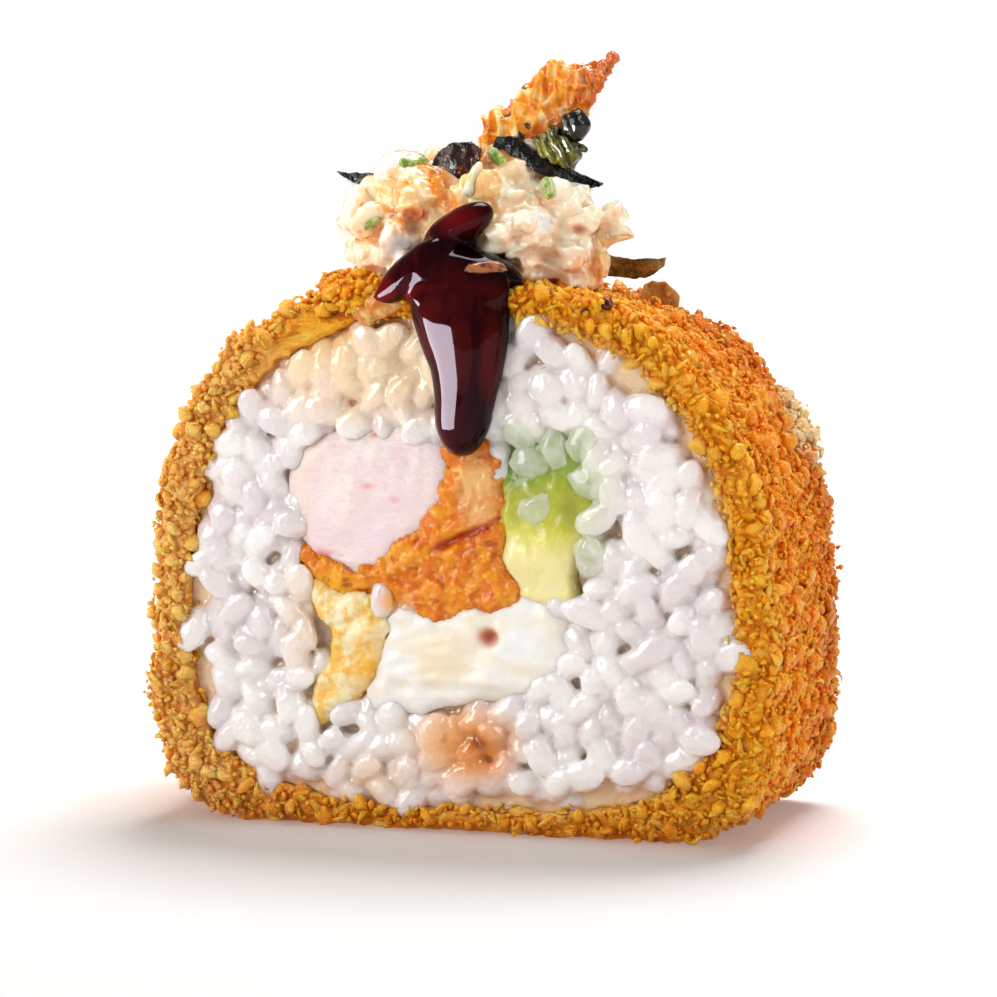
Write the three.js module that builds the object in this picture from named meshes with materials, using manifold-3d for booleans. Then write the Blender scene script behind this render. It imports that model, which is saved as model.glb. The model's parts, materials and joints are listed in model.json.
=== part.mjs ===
// One thick slice of a crumbed, deep-fried sushi roll, standing on the flat of its crust.
// The cut faces -Y. A crust of breadcrumbs holds packed rice round five fillings, and on
// top sit a creamy seafood salad, a run of dark sauce, shreds of seaweed and a crisp flake.
import * as THREE from 'three';
import { mergeVertices } from 'three/addons/utils/BufferGeometryUtils.js';
import Module from 'manifold-3d';

const wasm = await Module();
wasm.setup();
const Solid = wasm.Manifold;

// Driving dimensions, in millimetres. The origin is the middle of the base, +Z is up.
const ROLL_DEPTH = 27;
const RICE_HALF_WIDTH = 27.4;
const RICE_TOP = 50.4;
const RICE_BOTTOM = 2.5;
const WIDEST_HEIGHT = 20.5;
const CRUST_AT_SIDES = 4.1;
const CRUST_ON_TOP = 3.6;
const CRUST_UNDER = 2.6;
const TOP_SQUARENESS = 2.5;
const RICE_BASE_SQUARENESS = 3.2;
const CRUST_BASE_SQUARENESS = 5.5;
const BACK_SETTLE = 0.07;
const REST_HEIGHT = 0.9;
const GAP = 0.3;
const FINEST = 0.04;

const CRUMB_RELIEF = 0.6;
const LUMP_RELIEF = 0.6;
const LUMP_LENGTH = 6;
const CRUST_STEPS_ROUND = 80;
const CRUST_STEPS_DEEP = 10;
// Clusters of crumbs that stand out from the rest, by angle round the roll and depth.
const CLUSTERS = [
  { angle: 0.52, depth: 12.5, reach: 3.2, rise: 1.6 },
  { angle: 1.93, depth: -9.5, reach: 3, rise: 2 },
];

const GRAIN_LENGTH = 6.2;
const GRAIN_WIDTH = 3.2;
const GRAIN_THICKNESS = 2.4;
const GRAINS_IN_FRONT = 30;
const GRAINS_BEHIND = 20;
const GRAINS_STAND_PROUD = 0.55;
const GRAINS_SUNK = 0.3;
const GRAIN_TILT = 0.7;
const RICE_RELIEF = 1.1;
const RICE_STEPS = 46;
const RICE_RINGS = 7;

const HEAP_MIDDLE = new THREE.Vector3(-1.6, -1.6, 54.6);
const HEAP_REACH = new THREE.Vector3(14.2, 9.2, 11);
const HEAP_SQUARENESS = 2.6;
const CORE_SHARE = 0.9;
const CHUNK_SIZE = 3.2;
const CHUNK_COUNT = 30;
const CHUNKS_SHARE = 0.88;

const FLAKE_THICKNESS = 1.1;
const SEAWEED_THICKNESS = 0.8;

const CUT = ROLL_DEPTH / 2;
const RICE_SIDES = {
  halfWidth: RICE_HALF_WIDTH,
  rise: RICE_TOP - WIDEST_HEIGHT,
  drop: WIDEST_HEIGHT - RICE_BOTTOM,
  baseSquareness: RICE_BASE_SQUARENESS,
};
const CRUST_SIDES = {
  halfWidth: RICE_HALF_WIDTH + CRUST_AT_SIDES,
  rise: RICE_TOP + CRUST_ON_TOP - WIDEST_HEIGHT,
  drop: WIDEST_HEIGHT - RICE_BOTTOM + CRUST_UNDER,
  baseSquareness: CRUST_BASE_SQUARENESS,
};

// Random draws are seeded, so every build gives the same slice.
function seeded(seed) {
  let state = seed;
  return () => {
    state = (state + 0x6d2b79f5) | 0;
    let mixed = Math.imul(state ^ (state >>> 15), 1 | state);
    mixed = (mixed + Math.imul(mixed ^ (mixed >>> 7), 61 | mixed)) ^ mixed;
    return ((mixed ^ (mixed >>> 14)) >>> 0) / 4294967296;
  };
}

// A fixed value from 0 to 1 for a point of a whole-number grid.
function gridValue(i, j, k) {
  const wave = Math.sin(i * 127.1 + j * 311.7 + k * 74.7) * 43758.5453;
  return wave - Math.floor(wave);
}

// Smooth lumps from -1 to 1, about one unit of length apart.
function lumps(x, y, z) {
  const cell = [x, y, z].map(Math.floor);
  const part = [x - cell[0], y - cell[1], z - cell[2]].map((t) => t * t * (3 - 2 * t));
  let sum = 0;
  for (const i of [0, 1]) {
    for (const j of [0, 1]) {
      for (const k of [0, 1]) {
        const shares = [i, j, k].map((high, n) => (high ? part[n] : 1 - part[n]));
        const value = gridValue(cell[0] + i, cell[1] + j, cell[2] + k);
        sum += shares[0] * shares[1] * shares[2] * value;
      }
    }
  }
  return 2 * sum - 1;
}

function middleOf(points) {
  return points.reduce((sum, p) => sum.add(p), new THREE.Vector3()).divideScalar(points.length);
}

// A closed skin through loops of as many points each: round again to the first loop, or
// with a fan over each end.
function skin(loops, roundAgain) {
  const count = loops[0].length;
  const points = loops.flat();
  const faces = [];
  const last = roundAgain ? loops.length : loops.length - 1;
  for (let row = 0; row < last; row += 1) {
    const next = (row + 1) % loops.length;
    for (let i = 0; i < count; i += 1) {
      const j = (i + 1) % count;
      faces.push(row * count + i, row * count + j, next * count + j);
      faces.push(row * count + i, next * count + j, next * count + i);
    }
  }
  if (!roundAgain) {
    for (const row of [0, loops.length - 1]) {
      const hub = points.push(middleOf(loops[row])) - 1;
      for (let i = 0; i < count; i += 1) {
        const ends = [row * count + i, row * count + ((i + 1) % count)];
        faces.push(hub, ...(row ? ends : ends.reverse()));
      }
    }
  }
  return solidOf(new THREE.BufferGeometry().setFromPoints(points).setIndex(faces));
}

// A three.js geometry as a solid with its faces pointing out.
function solidOf(geometry) {
  const bare = geometry.clone();
  bare.deleteAttribute('normal');
  bare.deleteAttribute('uv');
  const merged = mergeVertices(bare, 1e-4);
  const points = merged.getAttribute('position');
  const faces = Uint32Array.from(merged.index.array);
  const corner = [0, 1, 2].map(() => new THREE.Vector3());
  let volume = 0;
  for (let i = 0; i < faces.length; i += 3) {
    corner.forEach((p, n) => p.fromBufferAttribute(points, faces[i + n]));
    volume += corner[0].dot(corner[1].clone().cross(corner[2]));
  }
  if (volume < 0) faces.reverse();
  const vertProperties = Float32Array.from(points.array);
  return new Solid(new wasm.Mesh({ numProp: 3, vertProperties, triVerts: faces }));
}

// The largest body of a solid, with what a cut left loose dropped.
function withoutScraps(solid) {
  const bodies = solid.simplify(FINEST).decompose();
  return bodies.reduce((best, body) => (body.volume() > best.volume() ? body : best));
}

function fuse(solids) {
  return Solid.union(solids);
}

function cutBy(solid, others) {
  return withoutScraps(solid.subtract(fuse(others)));
}

// Crust and rice.

// A point of the roll's soft oval, which is squarer below than above and settles a little
// towards the back.
function ovalPoint(angle, sides, depth, extra = 0) {
  const above = Math.sin(angle) > 0;
  const power = above ? TOP_SQUARENESS : sides.baseSquareness;
  const settle = 1 - (BACK_SETTLE * (depth + CUT)) / ROLL_DEPTH;
  const height = above ? sides.rise * settle : sides.drop;
  const across = Math.abs(Math.cos(angle)) / sides.halfWidth;
  const up = Math.abs(Math.sin(angle)) / height;
  const radius = (across ** power + up ** power) ** (-1 / power) + extra;
  return new THREE.Vector3(radius * Math.cos(angle), depth, WIDEST_HEIGHT + radius * Math.sin(angle));
}

function ovalLoop(steps, sides, depth, extra = 0) {
  const turn = (2 * Math.PI) / steps;
  return Array.from({ length: steps }, (_, i) => ovalPoint(turn * i, sides, depth, extra));
}

// One loop of the crust's outside: lumps, crumbs, and the flat that it stands on.
function crumbedLoop(step, depth, grow) {
  return Array.from({ length: CRUST_STEPS_ROUND }, (_, i) => {
    const angle = (2 * Math.PI * i) / CRUST_STEPS_ROUND;
    const smooth = ovalPoint(angle, CRUST_SIDES, depth);
    const { x, y, z } = smooth.clone().divideScalar(LUMP_LENGTH);
    const cluster = CLUSTERS.reduce((sum, { angle: round, depth: deep, reach, rise }) => {
      const away = smooth.distanceTo(ovalPoint(round, CRUST_SIDES, deep)) / reach;
      return sum + rise * Math.exp(-away * away);
    }, 0);
    const crumb = CRUMB_RELIEF * (2 * gridValue(i, step, 1) - 1);
    const relief = LUMP_RELIEF * lumps(x, y, z) + crumb + cluster;
    const point = ovalPoint(angle, CRUST_SIDES, depth, relief + grow);
    point.z = smooth.z < REST_HEIGHT ? -grow : Math.max(point.z, -grow);
    return point;
  });
}

// The crust's outside with nothing taken out, grown to keep its neighbours clear of it.
function crustBlock(grow, front, back) {
  const loops = [];
  for (let step = 0; step < CRUST_STEPS_DEEP; step += 1) {
    const share = step / (CRUST_STEPS_DEEP - 1);
    const outermost = share === 0 ? front : share === 1 ? back : 0;
    loops.push(crumbedLoop(step, -CUT + ROLL_DEPTH * share, grow));
    if (outermost) loops[loops.length - 1].forEach((p) => { p.y += outermost; });
  }
  return skin(loops, false);
}

// The crust is a sleeve, open at both cuts, with torn crumbs round each rim.
function makeCrust() {
  const outside = [];
  for (let step = 0; step < CRUST_STEPS_DEEP; step += 1) {
    outside.push(crumbedLoop(step, -CUT + (ROLL_DEPTH * step) / (CRUST_STEPS_DEEP - 1), 0));
  }
  const inside = [CUT, 0, -CUT].map((depth) => ovalLoop(CRUST_STEPS_ROUND, RICE_SIDES, depth, GAP));
  const rim = (outer, inner, side) => outer.map((point, i) => {
    const middle = point.clone().lerp(inner[i], 0.5);
    middle.y += side * CRUMB_RELIEF * (0.3 + gridValue(i, side, 5));
    return middle;
  });
  const backRim = rim(outside[outside.length - 1], inside[0], 1);
  const frontRim = rim(outside[0], inside[2], -1);
  return skin([...outside, backRim, ...inside, frontRim], true);
}

// Fillings.

// The outlines of the fillings on the cut face, as x and z.
const PRAWN = [
  [-17.2, 33.2], [-16.2, 37.2], [-12, 39], [-6, 40], [-1.6, 38.9], [-0.4, 34.5],
  [-2.6, 30], [-6.5, 27.2], [-9.1, 24.8], [-13, 25.6], [-16.4, 29],
];
const PRAWN_BATTER = [
  [0.2, 39.8], [3.8, 37], [4.8, 32], [4.9, 27], [6.8, 22.8], [3.4, 22], [-2.4, 20.3],
  [-5.6, 22.8], [-12, 23.2], [-16.2, 26.4], [-12, 30], [-5, 33],
];
const EGG_STRIP = [
  [-15.2, 25], [-12.6, 24], [-8.6, 23.4], [-7.2, 20.7], [-7.8, 17.7], [-8.9, 14.6], [-11, 12.6],
  [-14.6, 10], [-14.4, 14], [-12.6, 17.5], [-12.6, 19.7], [-14.8, 22.4],
];
const CREAM_CHEESE = [
  [-7, 21.4], [-4.2, 22.4], [-2.5, 21], [2.4, 23.2], [9.3, 22.9], [11.7, 18.5], [8.5, 14.4],
  [3.9, 13.3], [-2.7, 12.1], [-5.3, 11.2], [-9.6, 12.4], [-8.4, 16.5],
];
const AVOCADO = [
  [4.6, 34], [5.9, 37.8], [8.5, 39], [12, 38.6], [13.7, 34.5], [13, 30.2], [11.9, 25.5],
  [12.1, 22.4], [9.6, 22], [6, 23], [4.4, 27],
];
const OUTLINE_STEPS = 22;
// The crown of a filling's cut ends: how far each step stands out, and its share of the width.
const CROWN = [[0.5, 0.55], [0.25, 0.86], [-0.4, 1]];

// A filling that runs through the slice: its outline drifts a little on the way to the
// back, and each cut end is gently crowned.
function runThrough(outline, grow, drift = [0, 0]) {
  const corners = outline.map(([x, z]) => new THREE.Vector3(x, 0, z));
  const curve = new THREE.CatmullRomCurve3(corners, true, 'catmullrom', 0.5);
  const edge = curve.getSpacedPoints(OUTLINE_STEPS).slice(0, OUTLINE_STEPS);
  const middle = middleOf(edge);
  const turning = edge.reduce((sum, p, i) => {
    const q = edge[(i + 1) % OUTLINE_STEPS];
    return sum + p.x * q.z - q.x * p.z;
  }, 0);
  const outward = edge.map((_, i) => {
    const [before, after] = [i + OUTLINE_STEPS - 1, i + 1].map((n) => edge[n % OUTLINE_STEPS]);
    const along = after.clone().sub(before);
    return new THREE.Vector3(along.z, 0, -along.x).normalize().multiplyScalar(Math.sign(turning));
  });
  const stations = [
    ...CROWN.map(([out, size]) => [-CUT - out - grow, size]),
    ...CROWN.toReversed().map(([out, size]) => [CUT + out + grow, size]),
  ];
  return skin(stations.map(([depth, size]) => edge.map((point, i) => {
    const share = (depth + CUT) / ROLL_DEPTH;
    const place = point.clone().addScaledVector(outward[i], grow);
    place.sub(middle).multiplyScalar(size).add(middle);
    place.x += drift[0] * share;
    place.z += drift[1] * share;
    place.y = depth;
    return place;
  })), false);
}

const FILLINGS = [
  { name: 'prawn', outline: PRAWN, drift: [0.8, -0.6], colour: 0xf6dcd6, roughness: 0.35 },
  { name: 'prawn_batter', outline: PRAWN_BATTER, drift: [0.8, -0.6], colour: 0xd98a2b, roughness: 0.5 },
  { name: 'egg_strip', outline: EGG_STRIP, drift: [-0.6, 0.8], colour: 0xf2c75a, roughness: 0.55 },
  { name: 'cream_cheese', outline: CREAM_CHEESE, drift: [0.4, 0.5], colour: 0xfaf3e6, roughness: 0.4 },
  { name: 'avocado', outline: AVOCADO, drift: [-0.5, -0.8], colour: 0xb9c95a, roughness: 0.35 },
];

function makeFillings() {
  const placed = [];
  return FILLINGS.map(({ outline, drift }) => {
    const whole = runThrough(outline, 0, drift);
    const piece = placed.length ? cutBy(whole, placed) : whole;
    placed.push(runThrough(outline, GAP, drift));
    return piece;
  });
}

// Rice.

const TRIES = 24;

// Places spread evenly over a cut face: each is the best of several tries.
function evenSpread(count, draw, allowed) {
  const places = [];
  while (places.length < count) {
    let best = null;
    let bestRoom = -1;
    for (let i = 0; i < TRIES; i += 1) {
      const place = draw();
      if (!allowed(place)) continue;
      const room = Math.min(...places.map((p) => p.distanceTo(place)), 1e3);
      if (room > bestRoom) {
        best = place;
        bestRoom = room;
      }
    }
    if (best) places.push(best);
  }
  return places;
}

function insideOutline(outline, x, z) {
  let inside = false;
  outline.forEach(([ax, az], i) => {
    const [bx, bz] = outline[(i + 1) % outline.length];
    if (az > z !== bz > z && x < ((bx - ax) * (z - az)) / (bz - az) + ax) inside = !inside;
  });
  return inside;
}

function onRice(place) {
  const angle = Math.atan2(place.z - WIDEST_HEIGHT, place.x);
  const edge = ovalPoint(angle, RICE_SIDES, place.y, -1);
  const reach = Math.hypot(edge.x, edge.z - WIDEST_HEIGHT);
  const inOval = Math.hypot(place.x, place.z - WIDEST_HEIGHT) < reach;
  return inOval && !FILLINGS.some(({ outline }) => insideOutline(outline, place.x, place.z));
}

// Cooked grains lie every way in the cut, pressed half into the rice behind them.
function makeGrains(side, count, random) {
  const draw = () => new THREE.Vector3(
    (2 * random() - 1) * RICE_HALF_WIDTH,
    side * (CUT - GRAINS_SUNK),
    RICE_BOTTOM + random() * (RICE_TOP - RICE_BOTTOM),
  );
  return evenSpread(count, draw, onRice).map((place) => {
    const size = 0.85 + 0.3 * random();
    const grain = new THREE.SphereGeometry(0.5, 5, 3);
    grain.rotateZ(Math.PI / 2);
    grain.scale(GRAIN_LENGTH * size, GRAIN_THICKNESS * size, GRAIN_WIDTH * size);
    grain.rotateZ((random() - 0.5) * GRAIN_TILT);
    grain.rotateY(Math.PI * random());
    grain.translate(place.x, place.y, place.z);
    return solidOf(grain);
  });
}

// The packed rice: both cut faces rise and fall in bumps as wide as a grain.
function makeRiceCore() {
  const cutLoop = (ring, side) => ovalLoop(RICE_STEPS, RICE_SIDES, side * CUT).map((point, i) => {
    const share = ring / RICE_RINGS;
    point.x *= share;
    point.z = WIDEST_HEIGHT + share * (point.z - WIDEST_HEIGHT);
    point.y -= side * RICE_RELIEF * gridValue(i, ring, side);
    return point;
  });
  const rings = Array.from({ length: RICE_RINGS }, (_, i) => i + 1);
  const front = rings.map((ring) => cutLoop(ring, -1));
  const back = rings.map((ring) => cutLoop(ring, 1));
  return skin([...front, ...back.reverse()], false);
}

function makeRice() {
  const random = seeded(11);
  const front = makeGrains(-1, GRAINS_IN_FRONT, random);
  const back = makeGrains(1, GRAINS_BEHIND, random);
  const reach = CUT + GRAINS_STAND_PROUD;
  const within = skin([-reach, reach].map((depth) => ovalLoop(RICE_STEPS, RICE_SIDES, depth)), false);
  const packed = fuse([makeRiceCore(), ...front, ...back]).intersect(within);
  return cutBy(packed, FILLINGS.map(({ outline, drift }) => runThrough(outline, GAP, drift)));
}

// Sauce.

// The run of sauce down the cut face: height, left edge, right edge and how far it stands
// proud of the rice.
const RUN_STATIONS = [
  [55, -4, 5, 0.8], [53.6, -4.4, 5.8, 1.5], [52, -4.4, 5.6, 2.1], [50.3, -4.1, 5.5, 2.4],
  [48.3, -3.4, 5.4, 2.5], [45.5, -2.2, 4.9, 2.6], [42.6, -1.7, 4.1, 2.6], [40, -1.6, 3.4, 2.6],
  [38.4, -1, 2.7, 2.2], [37.4, 0.1, 1.7, 1.2],
];
const RUN_BACK = -CUT - 1;
const RUN_SUNK = 0.3;
const RUN_STEPS = 12;
// How far the sauce and what lies on top keep off the crust's torn rim.
const RIM_CLEARANCE = 0.9;

// The thick sauce where it lies over the salad and the crust's rim: middle, half sizes and
// tilt about Y. The last one is the leaf of sauce that lies up the salad.
const SAUCE_POOLS = [
  { middle: [-0.1, -12.2, 54.4], half: [6.5, 3.8, 2.7], tilt: 0.1 },
  { middle: [-4.8, -13.6, 54.4], half: [5, 2, 1.7], tilt: -0.75 },
  { middle: [-2.2, -11.8, 56], half: [3.2, 2.8, 1.9], tilt: -0.3 },
  { middle: [-0.4, -11.2, 59.1], half: [3.8, 2.2, 1.6], tilt: -0.52 },
];

function sauceRun(grow) {
  return skin(RUN_STATIONS.map(([height, left, right, proud], row) => {
    const middle = (left + right) / 2;
    const reach = (right - left) / 2 + grow;
    return Array.from({ length: RUN_STEPS }, (_, i) => {
      const angle = (2 * Math.PI * i) / RUN_STEPS;
      const swell = (Math.sin(angle) > 0 ? proud : RUN_SUNK) + grow;
      const fall = row === 0 ? grow : row === RUN_STATIONS.length - 1 ? -grow : 0;
      return new THREE.Vector3(
        middle + reach * Math.cos(angle),
        RUN_BACK - swell * Math.sin(angle),
        height + fall,
      );
    });
  }), false);
}

function pool({ middle, half, tilt }, grow) {
  const drop = new THREE.SphereGeometry(1, 12, 8);
  drop.scale(...half.map((size) => size + grow));
  drop.rotateY(tilt);
  drop.translate(...middle);
  return solidOf(drop);
}

function sauceBlob(grow) {
  return fuse([sauceRun(grow), ...SAUCE_POOLS.map((shape) => pool(shape, grow))]);
}

function makeSauce() {
  return cutBy(sauceBlob(0), [crustBlock(GAP, -RIM_CLEARANCE, RIM_CLEARANCE)]);
}

// Thin pieces on top, which thin out towards their upper and lower edges.
const EDGE_THINNESS = 0.35;
const EDGE_START = 0.12;

// A thin wavy sheet between a lower and an upper edge, both given as x and z, its two
// faces split alike. Its depth follows the given function of the way along and up.
function sheet({ lower, upper, columns, rows, thickness, depth }, grow) {
  const edges = [lower, upper].map((edge) => new THREE.CatmullRomCurve3(
    edge.map(([x, z]) => new THREE.Vector3(x, 0, z)), false, 'catmullrom', 0.5,
  ).getPoints(columns));
  const middle = middleOf(edges.flat());
  const width = Math.max(...edges.flat().map((p) => p.distanceTo(middle)));
  const spread = 1 + grow / width;
  const loops = [];
  for (let column = 0; column <= columns; column += 1) {
    const face = (side) => Array.from({ length: rows + 1 }, (_, row) => {
      const [along, up] = [column / columns, row / rows];
      const point = edges[0][column].clone().lerp(edges[1][column], up);
      point.sub(middle).multiplyScalar(spread).add(middle);
      const middling = Math.sin(Math.PI * (EDGE_START + (1 - 2 * EDGE_START) * up));
      const half = (thickness / 2) * (EDGE_THINNESS + (1 - EDGE_THINNESS) * middling);
      point.y = depth(along, up) + side * (half + grow);
      return point;
    });
    loops.push([...face(-1), ...face(1).reverse()]);
  }
  return skin(loops, false);
}

const wave = (turns, shift = 0) => Math.sin(2 * Math.PI * (turns + shift));

const SHEETS = {
  crisp_flake: {
    lower: [
      [-1.2, 65.6], [0.8, 67.2], [3.1, 67.9], [5.9, 68.2], [8.5, 68.8], [9.8, 71], [11, 73.2],
      [11.8, 75.4],
    ],
    upper: [
      [-1.3, 69.3], [0.5, 70.4], [2.6, 71.9], [4.4, 73.8], [5.8, 74.9], [8, 74.4], [10.2, 74.8],
      [11.4, 75.8],
    ],
    columns: 13,
    rows: 4,
    thickness: FLAKE_THICKNESS,
    depth: (along, up) => -2.2 + 3 * along + 0.7 * wave(2.2 * along, 0.3 * up) + 0.9 * up,
  },
  nori_long: {
    lower: [[0.9, 66.6], [2.9, 65.6], [5.6, 63.9], [8.5, 62.5], [11.4, 62.7]],
    upper: [[1.2, 67.7], [3.3, 67.6], [6.1, 65.5], [9, 64.3], [11.6, 63.1]],
    columns: 8,
    rows: 2,
    thickness: SEAWEED_THICKNESS,
    depth: (along, up) => -4.6 + 1.8 * along + 0.5 * wave(1.5 * along) + 0.6 * up,
  },
  nori_glazed: {
    lower: [[-5, 64.8], [-3.2, 64.2], [-1.5, 63.4], [0.1, 64.2]],
    upper: [[-4.8, 66.2], [-2.8, 67.1], [-0.9, 67.2], [0.4, 66.5]],
    columns: 8,
    rows: 2,
    thickness: SEAWEED_THICKNESS,
    depth: (along, up) => -6 - 0.8 * along + 0.5 * wave(1.5 * along, 0.3 * up) + 1.2 * up,
  },
  nori_left: {
    lower: [[-16, 63.9], [-14.6, 62.8], [-12.4, 62.2], [-9.6, 61.6]],
    upper: [[-15.9, 64.1], [-14.2, 63.9], [-12.4, 63.9], [-9.6, 63.6]],
    columns: 5,
    rows: 1,
    thickness: SEAWEED_THICKNESS,
    depth: (along, up) => -2.6 + 0.8 * along + 0.3 * wave(along) + 0.3 * up,
  },
  nori_right: {
    lower: [[9.6, 53.6], [12, 53.4], [14.2, 53.4], [16, 54.6]],
    upper: [[9.6, 56.2], [12, 55.6], [14.4, 55.5], [16.4, 55.6]],
    columns: 6,
    rows: 2,
    thickness: SEAWEED_THICKNESS,
    depth: (along, up) => 3.2 + 1.4 * along + 0.4 * wave(along) - 0.8 * up,
  },
  nori_chip: {
    lower: [[12.8, 50.4], [14.4, 50], [16, 49.6], [17, 50.4]],
    upper: [[13.4, 52.9], [14.6, 53.3], [15.9, 53], [17.2, 51.6]],
    columns: 5,
    rows: 2,
    thickness: SEAWEED_THICKNESS,
    depth: (along, up) => 5.6 + 0.8 * along + 0.3 * wave(along) + 0.4 * up,
  },
};

// A curl of wilted seaweed: a ball drawn into pleats.
const CURLS = {
  seaweed_curl_dark: { middle: [8.7, -2.2, 68.7], half: [1.5, 1.6, 1.7], pleats: 5, depth: 0.1 },
  seaweed_curl_green: { middle: [6.9, -2, 66.3], half: [2.6, 2.2, 2.3], pleats: 7, depth: 0.13 },
};

function curl({ middle, half, pleats, depth }, grow) {
  const ball = new THREE.SphereGeometry(1, 14, 6);
  const points = ball.getAttribute('position');
  const point = new THREE.Vector3();
  for (let i = 0; i < points.count; i += 1) {
    point.fromBufferAttribute(points, i);
    const fold = 1 + depth * Math.cos(pleats * Math.atan2(point.z, point.x)) * (1 - Math.abs(point.y));
    point.multiplyScalar(fold);
    points.setXYZ(i, ...point);
  }
  ball.scale(...half.map((size) => size + grow));
  ball.translate(...middle);
  return solidOf(ball);
}

// Everything thin on top, each cut clear of those named before it and of the crust.
function makeGarnish() {
  const shapes = [
    ...Object.entries(SHEETS).map(([name, form]) => [name, (grow) => sheet(form, grow)]),
    ...Object.entries(CURLS).map(([name, form]) => [name, (grow) => curl(form, grow)]),
  ];
  const inTheWay = [crustBlock(GAP, -RIM_CLEARANCE, RIM_CLEARANCE)];
  const pieces = {};
  for (const [name, shape] of shapes) {
    pieces[name] = cutBy(shape(0), inTheWay);
    inTheWay.push(shape(GAP));
  }
  return { pieces, inTheWay };
}

// Salad.

// A point of the salad's squarish dome in a direction from its middle.
function domePoint(direction, share) {
  const sum = direction.toArray().reduce((total, part) => total + Math.abs(part) ** HEAP_SQUARENESS, 0);
  const radius = share * sum ** (-1 / HEAP_SQUARENESS);
  return direction.clone().multiplyScalar(radius).multiply(HEAP_REACH).add(HEAP_MIDDLE);
}

const SHRED = { radius: 1.1, length: 5, lean: -1.25, middle: [12.6, -3.4, 58] };

// A dome of chopped seafood in a creamy dressing: chunks of every size over a soft core,
// with one shred that sticks out to the right.
function makeSalad(inTheWay) {
  const random = seeded(29);
  const core = new THREE.IcosahedronGeometry(1, 2);
  const points = core.getAttribute('position');
  for (let i = 0; i < points.count; i += 1) {
    const direction = new THREE.Vector3().fromBufferAttribute(points, i).normalize();
    points.setXYZ(i, ...domePoint(direction, CORE_SHARE));
  }
  const solids = [solidOf(core)];
  const goldenAngle = Math.PI * (3 - Math.sqrt(5));
  for (let i = 0; i < CHUNK_COUNT; i += 1) {
    const height = (i + 0.5) / CHUNK_COUNT;
    const turn = i * goldenAngle + 0.5 * random();
    const ring = Math.sqrt(1 - height * height);
    const direction = new THREE.Vector3(ring * Math.cos(turn), ring * Math.sin(turn), height);
    const place = domePoint(direction, CHUNKS_SHARE);
    const chunk = new THREE.DodecahedronGeometry(1);
    const size = CHUNK_SIZE * (0.7 + 0.5 * random());
    chunk.scale(size, size * (0.7 + 0.3 * random()), size * (0.6 + 0.3 * random()));
    chunk.rotateX(Math.PI * random());
    chunk.rotateZ(Math.PI * random());
    chunk.translate(place.x, place.y, place.z);
    solids.push(solidOf(chunk));
  }
  const shred = new THREE.ConeGeometry(SHRED.radius, SHRED.length, 6);
  shred.rotateZ(SHRED.lean);
  shred.translate(...SHRED.middle);
  solids.push(solidOf(shred));
  return cutBy(fuse(solids), [...inTheWay, sauceBlob(GAP)]);
}

// The slice as a scene, one named mesh for each piece.
function addPiece(group, name, solid, colour, roughness) {
  const { vertProperties, triVerts } = solid.getMesh();
  const geometry = new THREE.BufferGeometry();
  geometry.setAttribute('position', new THREE.BufferAttribute(vertProperties, 3));
  geometry.setIndex(new THREE.BufferAttribute(triVerts, 1));
  geometry.computeVertexNormals();
  const finish = new THREE.MeshStandardMaterial({ color: colour, roughness, metalness: 0 });
  const mesh = new THREE.Mesh(geometry, finish);
  mesh.name = name;
  group.add(mesh);
}

const GARNISH_COLOURS = {
  crisp_flake: 0xe8a23c,
  nori_long: 0x17150f,
  nori_glazed: 0x26130c,
  nori_left: 0x1d2115,
  nori_right: 0x4a4423,
  nori_chip: 0x5a3a1c,
  seaweed_curl_dark: 0x14110e,
  seaweed_curl_green: 0x6d6a22,
};

const roll = new THREE.Group();
const garnish = makeGarnish();
addPiece(roll, 'crust', makeCrust(), 0xd9872a, 0.8);
addPiece(roll, 'rice', makeRice(), 0xeeecf0, 0.35);
makeFillings().forEach((piece, i) => {
  addPiece(roll, FILLINGS[i].name, piece, FILLINGS[i].colour, FILLINGS[i].roughness);
});
addPiece(roll, 'salad', makeSalad(garnish.inTheWay), 0xf5dcb8, 0.3);
addPiece(roll, 'sauce', makeSauce(), 0x3a0608, 0.1);
for (const [name, piece] of Object.entries(garnish.pieces)) {
  addPiece(roll, name, piece, GARNISH_COLOURS[name], 0.4);
}

export default roll;
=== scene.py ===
# A thick slice of a crumbed, deep-fried sushi roll. It stands on the flat of its crust with
# the cut towards the camera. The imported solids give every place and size, and each section
# makes the real surface of one piece, from the fillings outwards.
import json
import math
import random

import bmesh
import bpy
from mathutils import Color, Matrix, Vector, kdtree, noise
from mathutils.bvhtree import BVHTree

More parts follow.
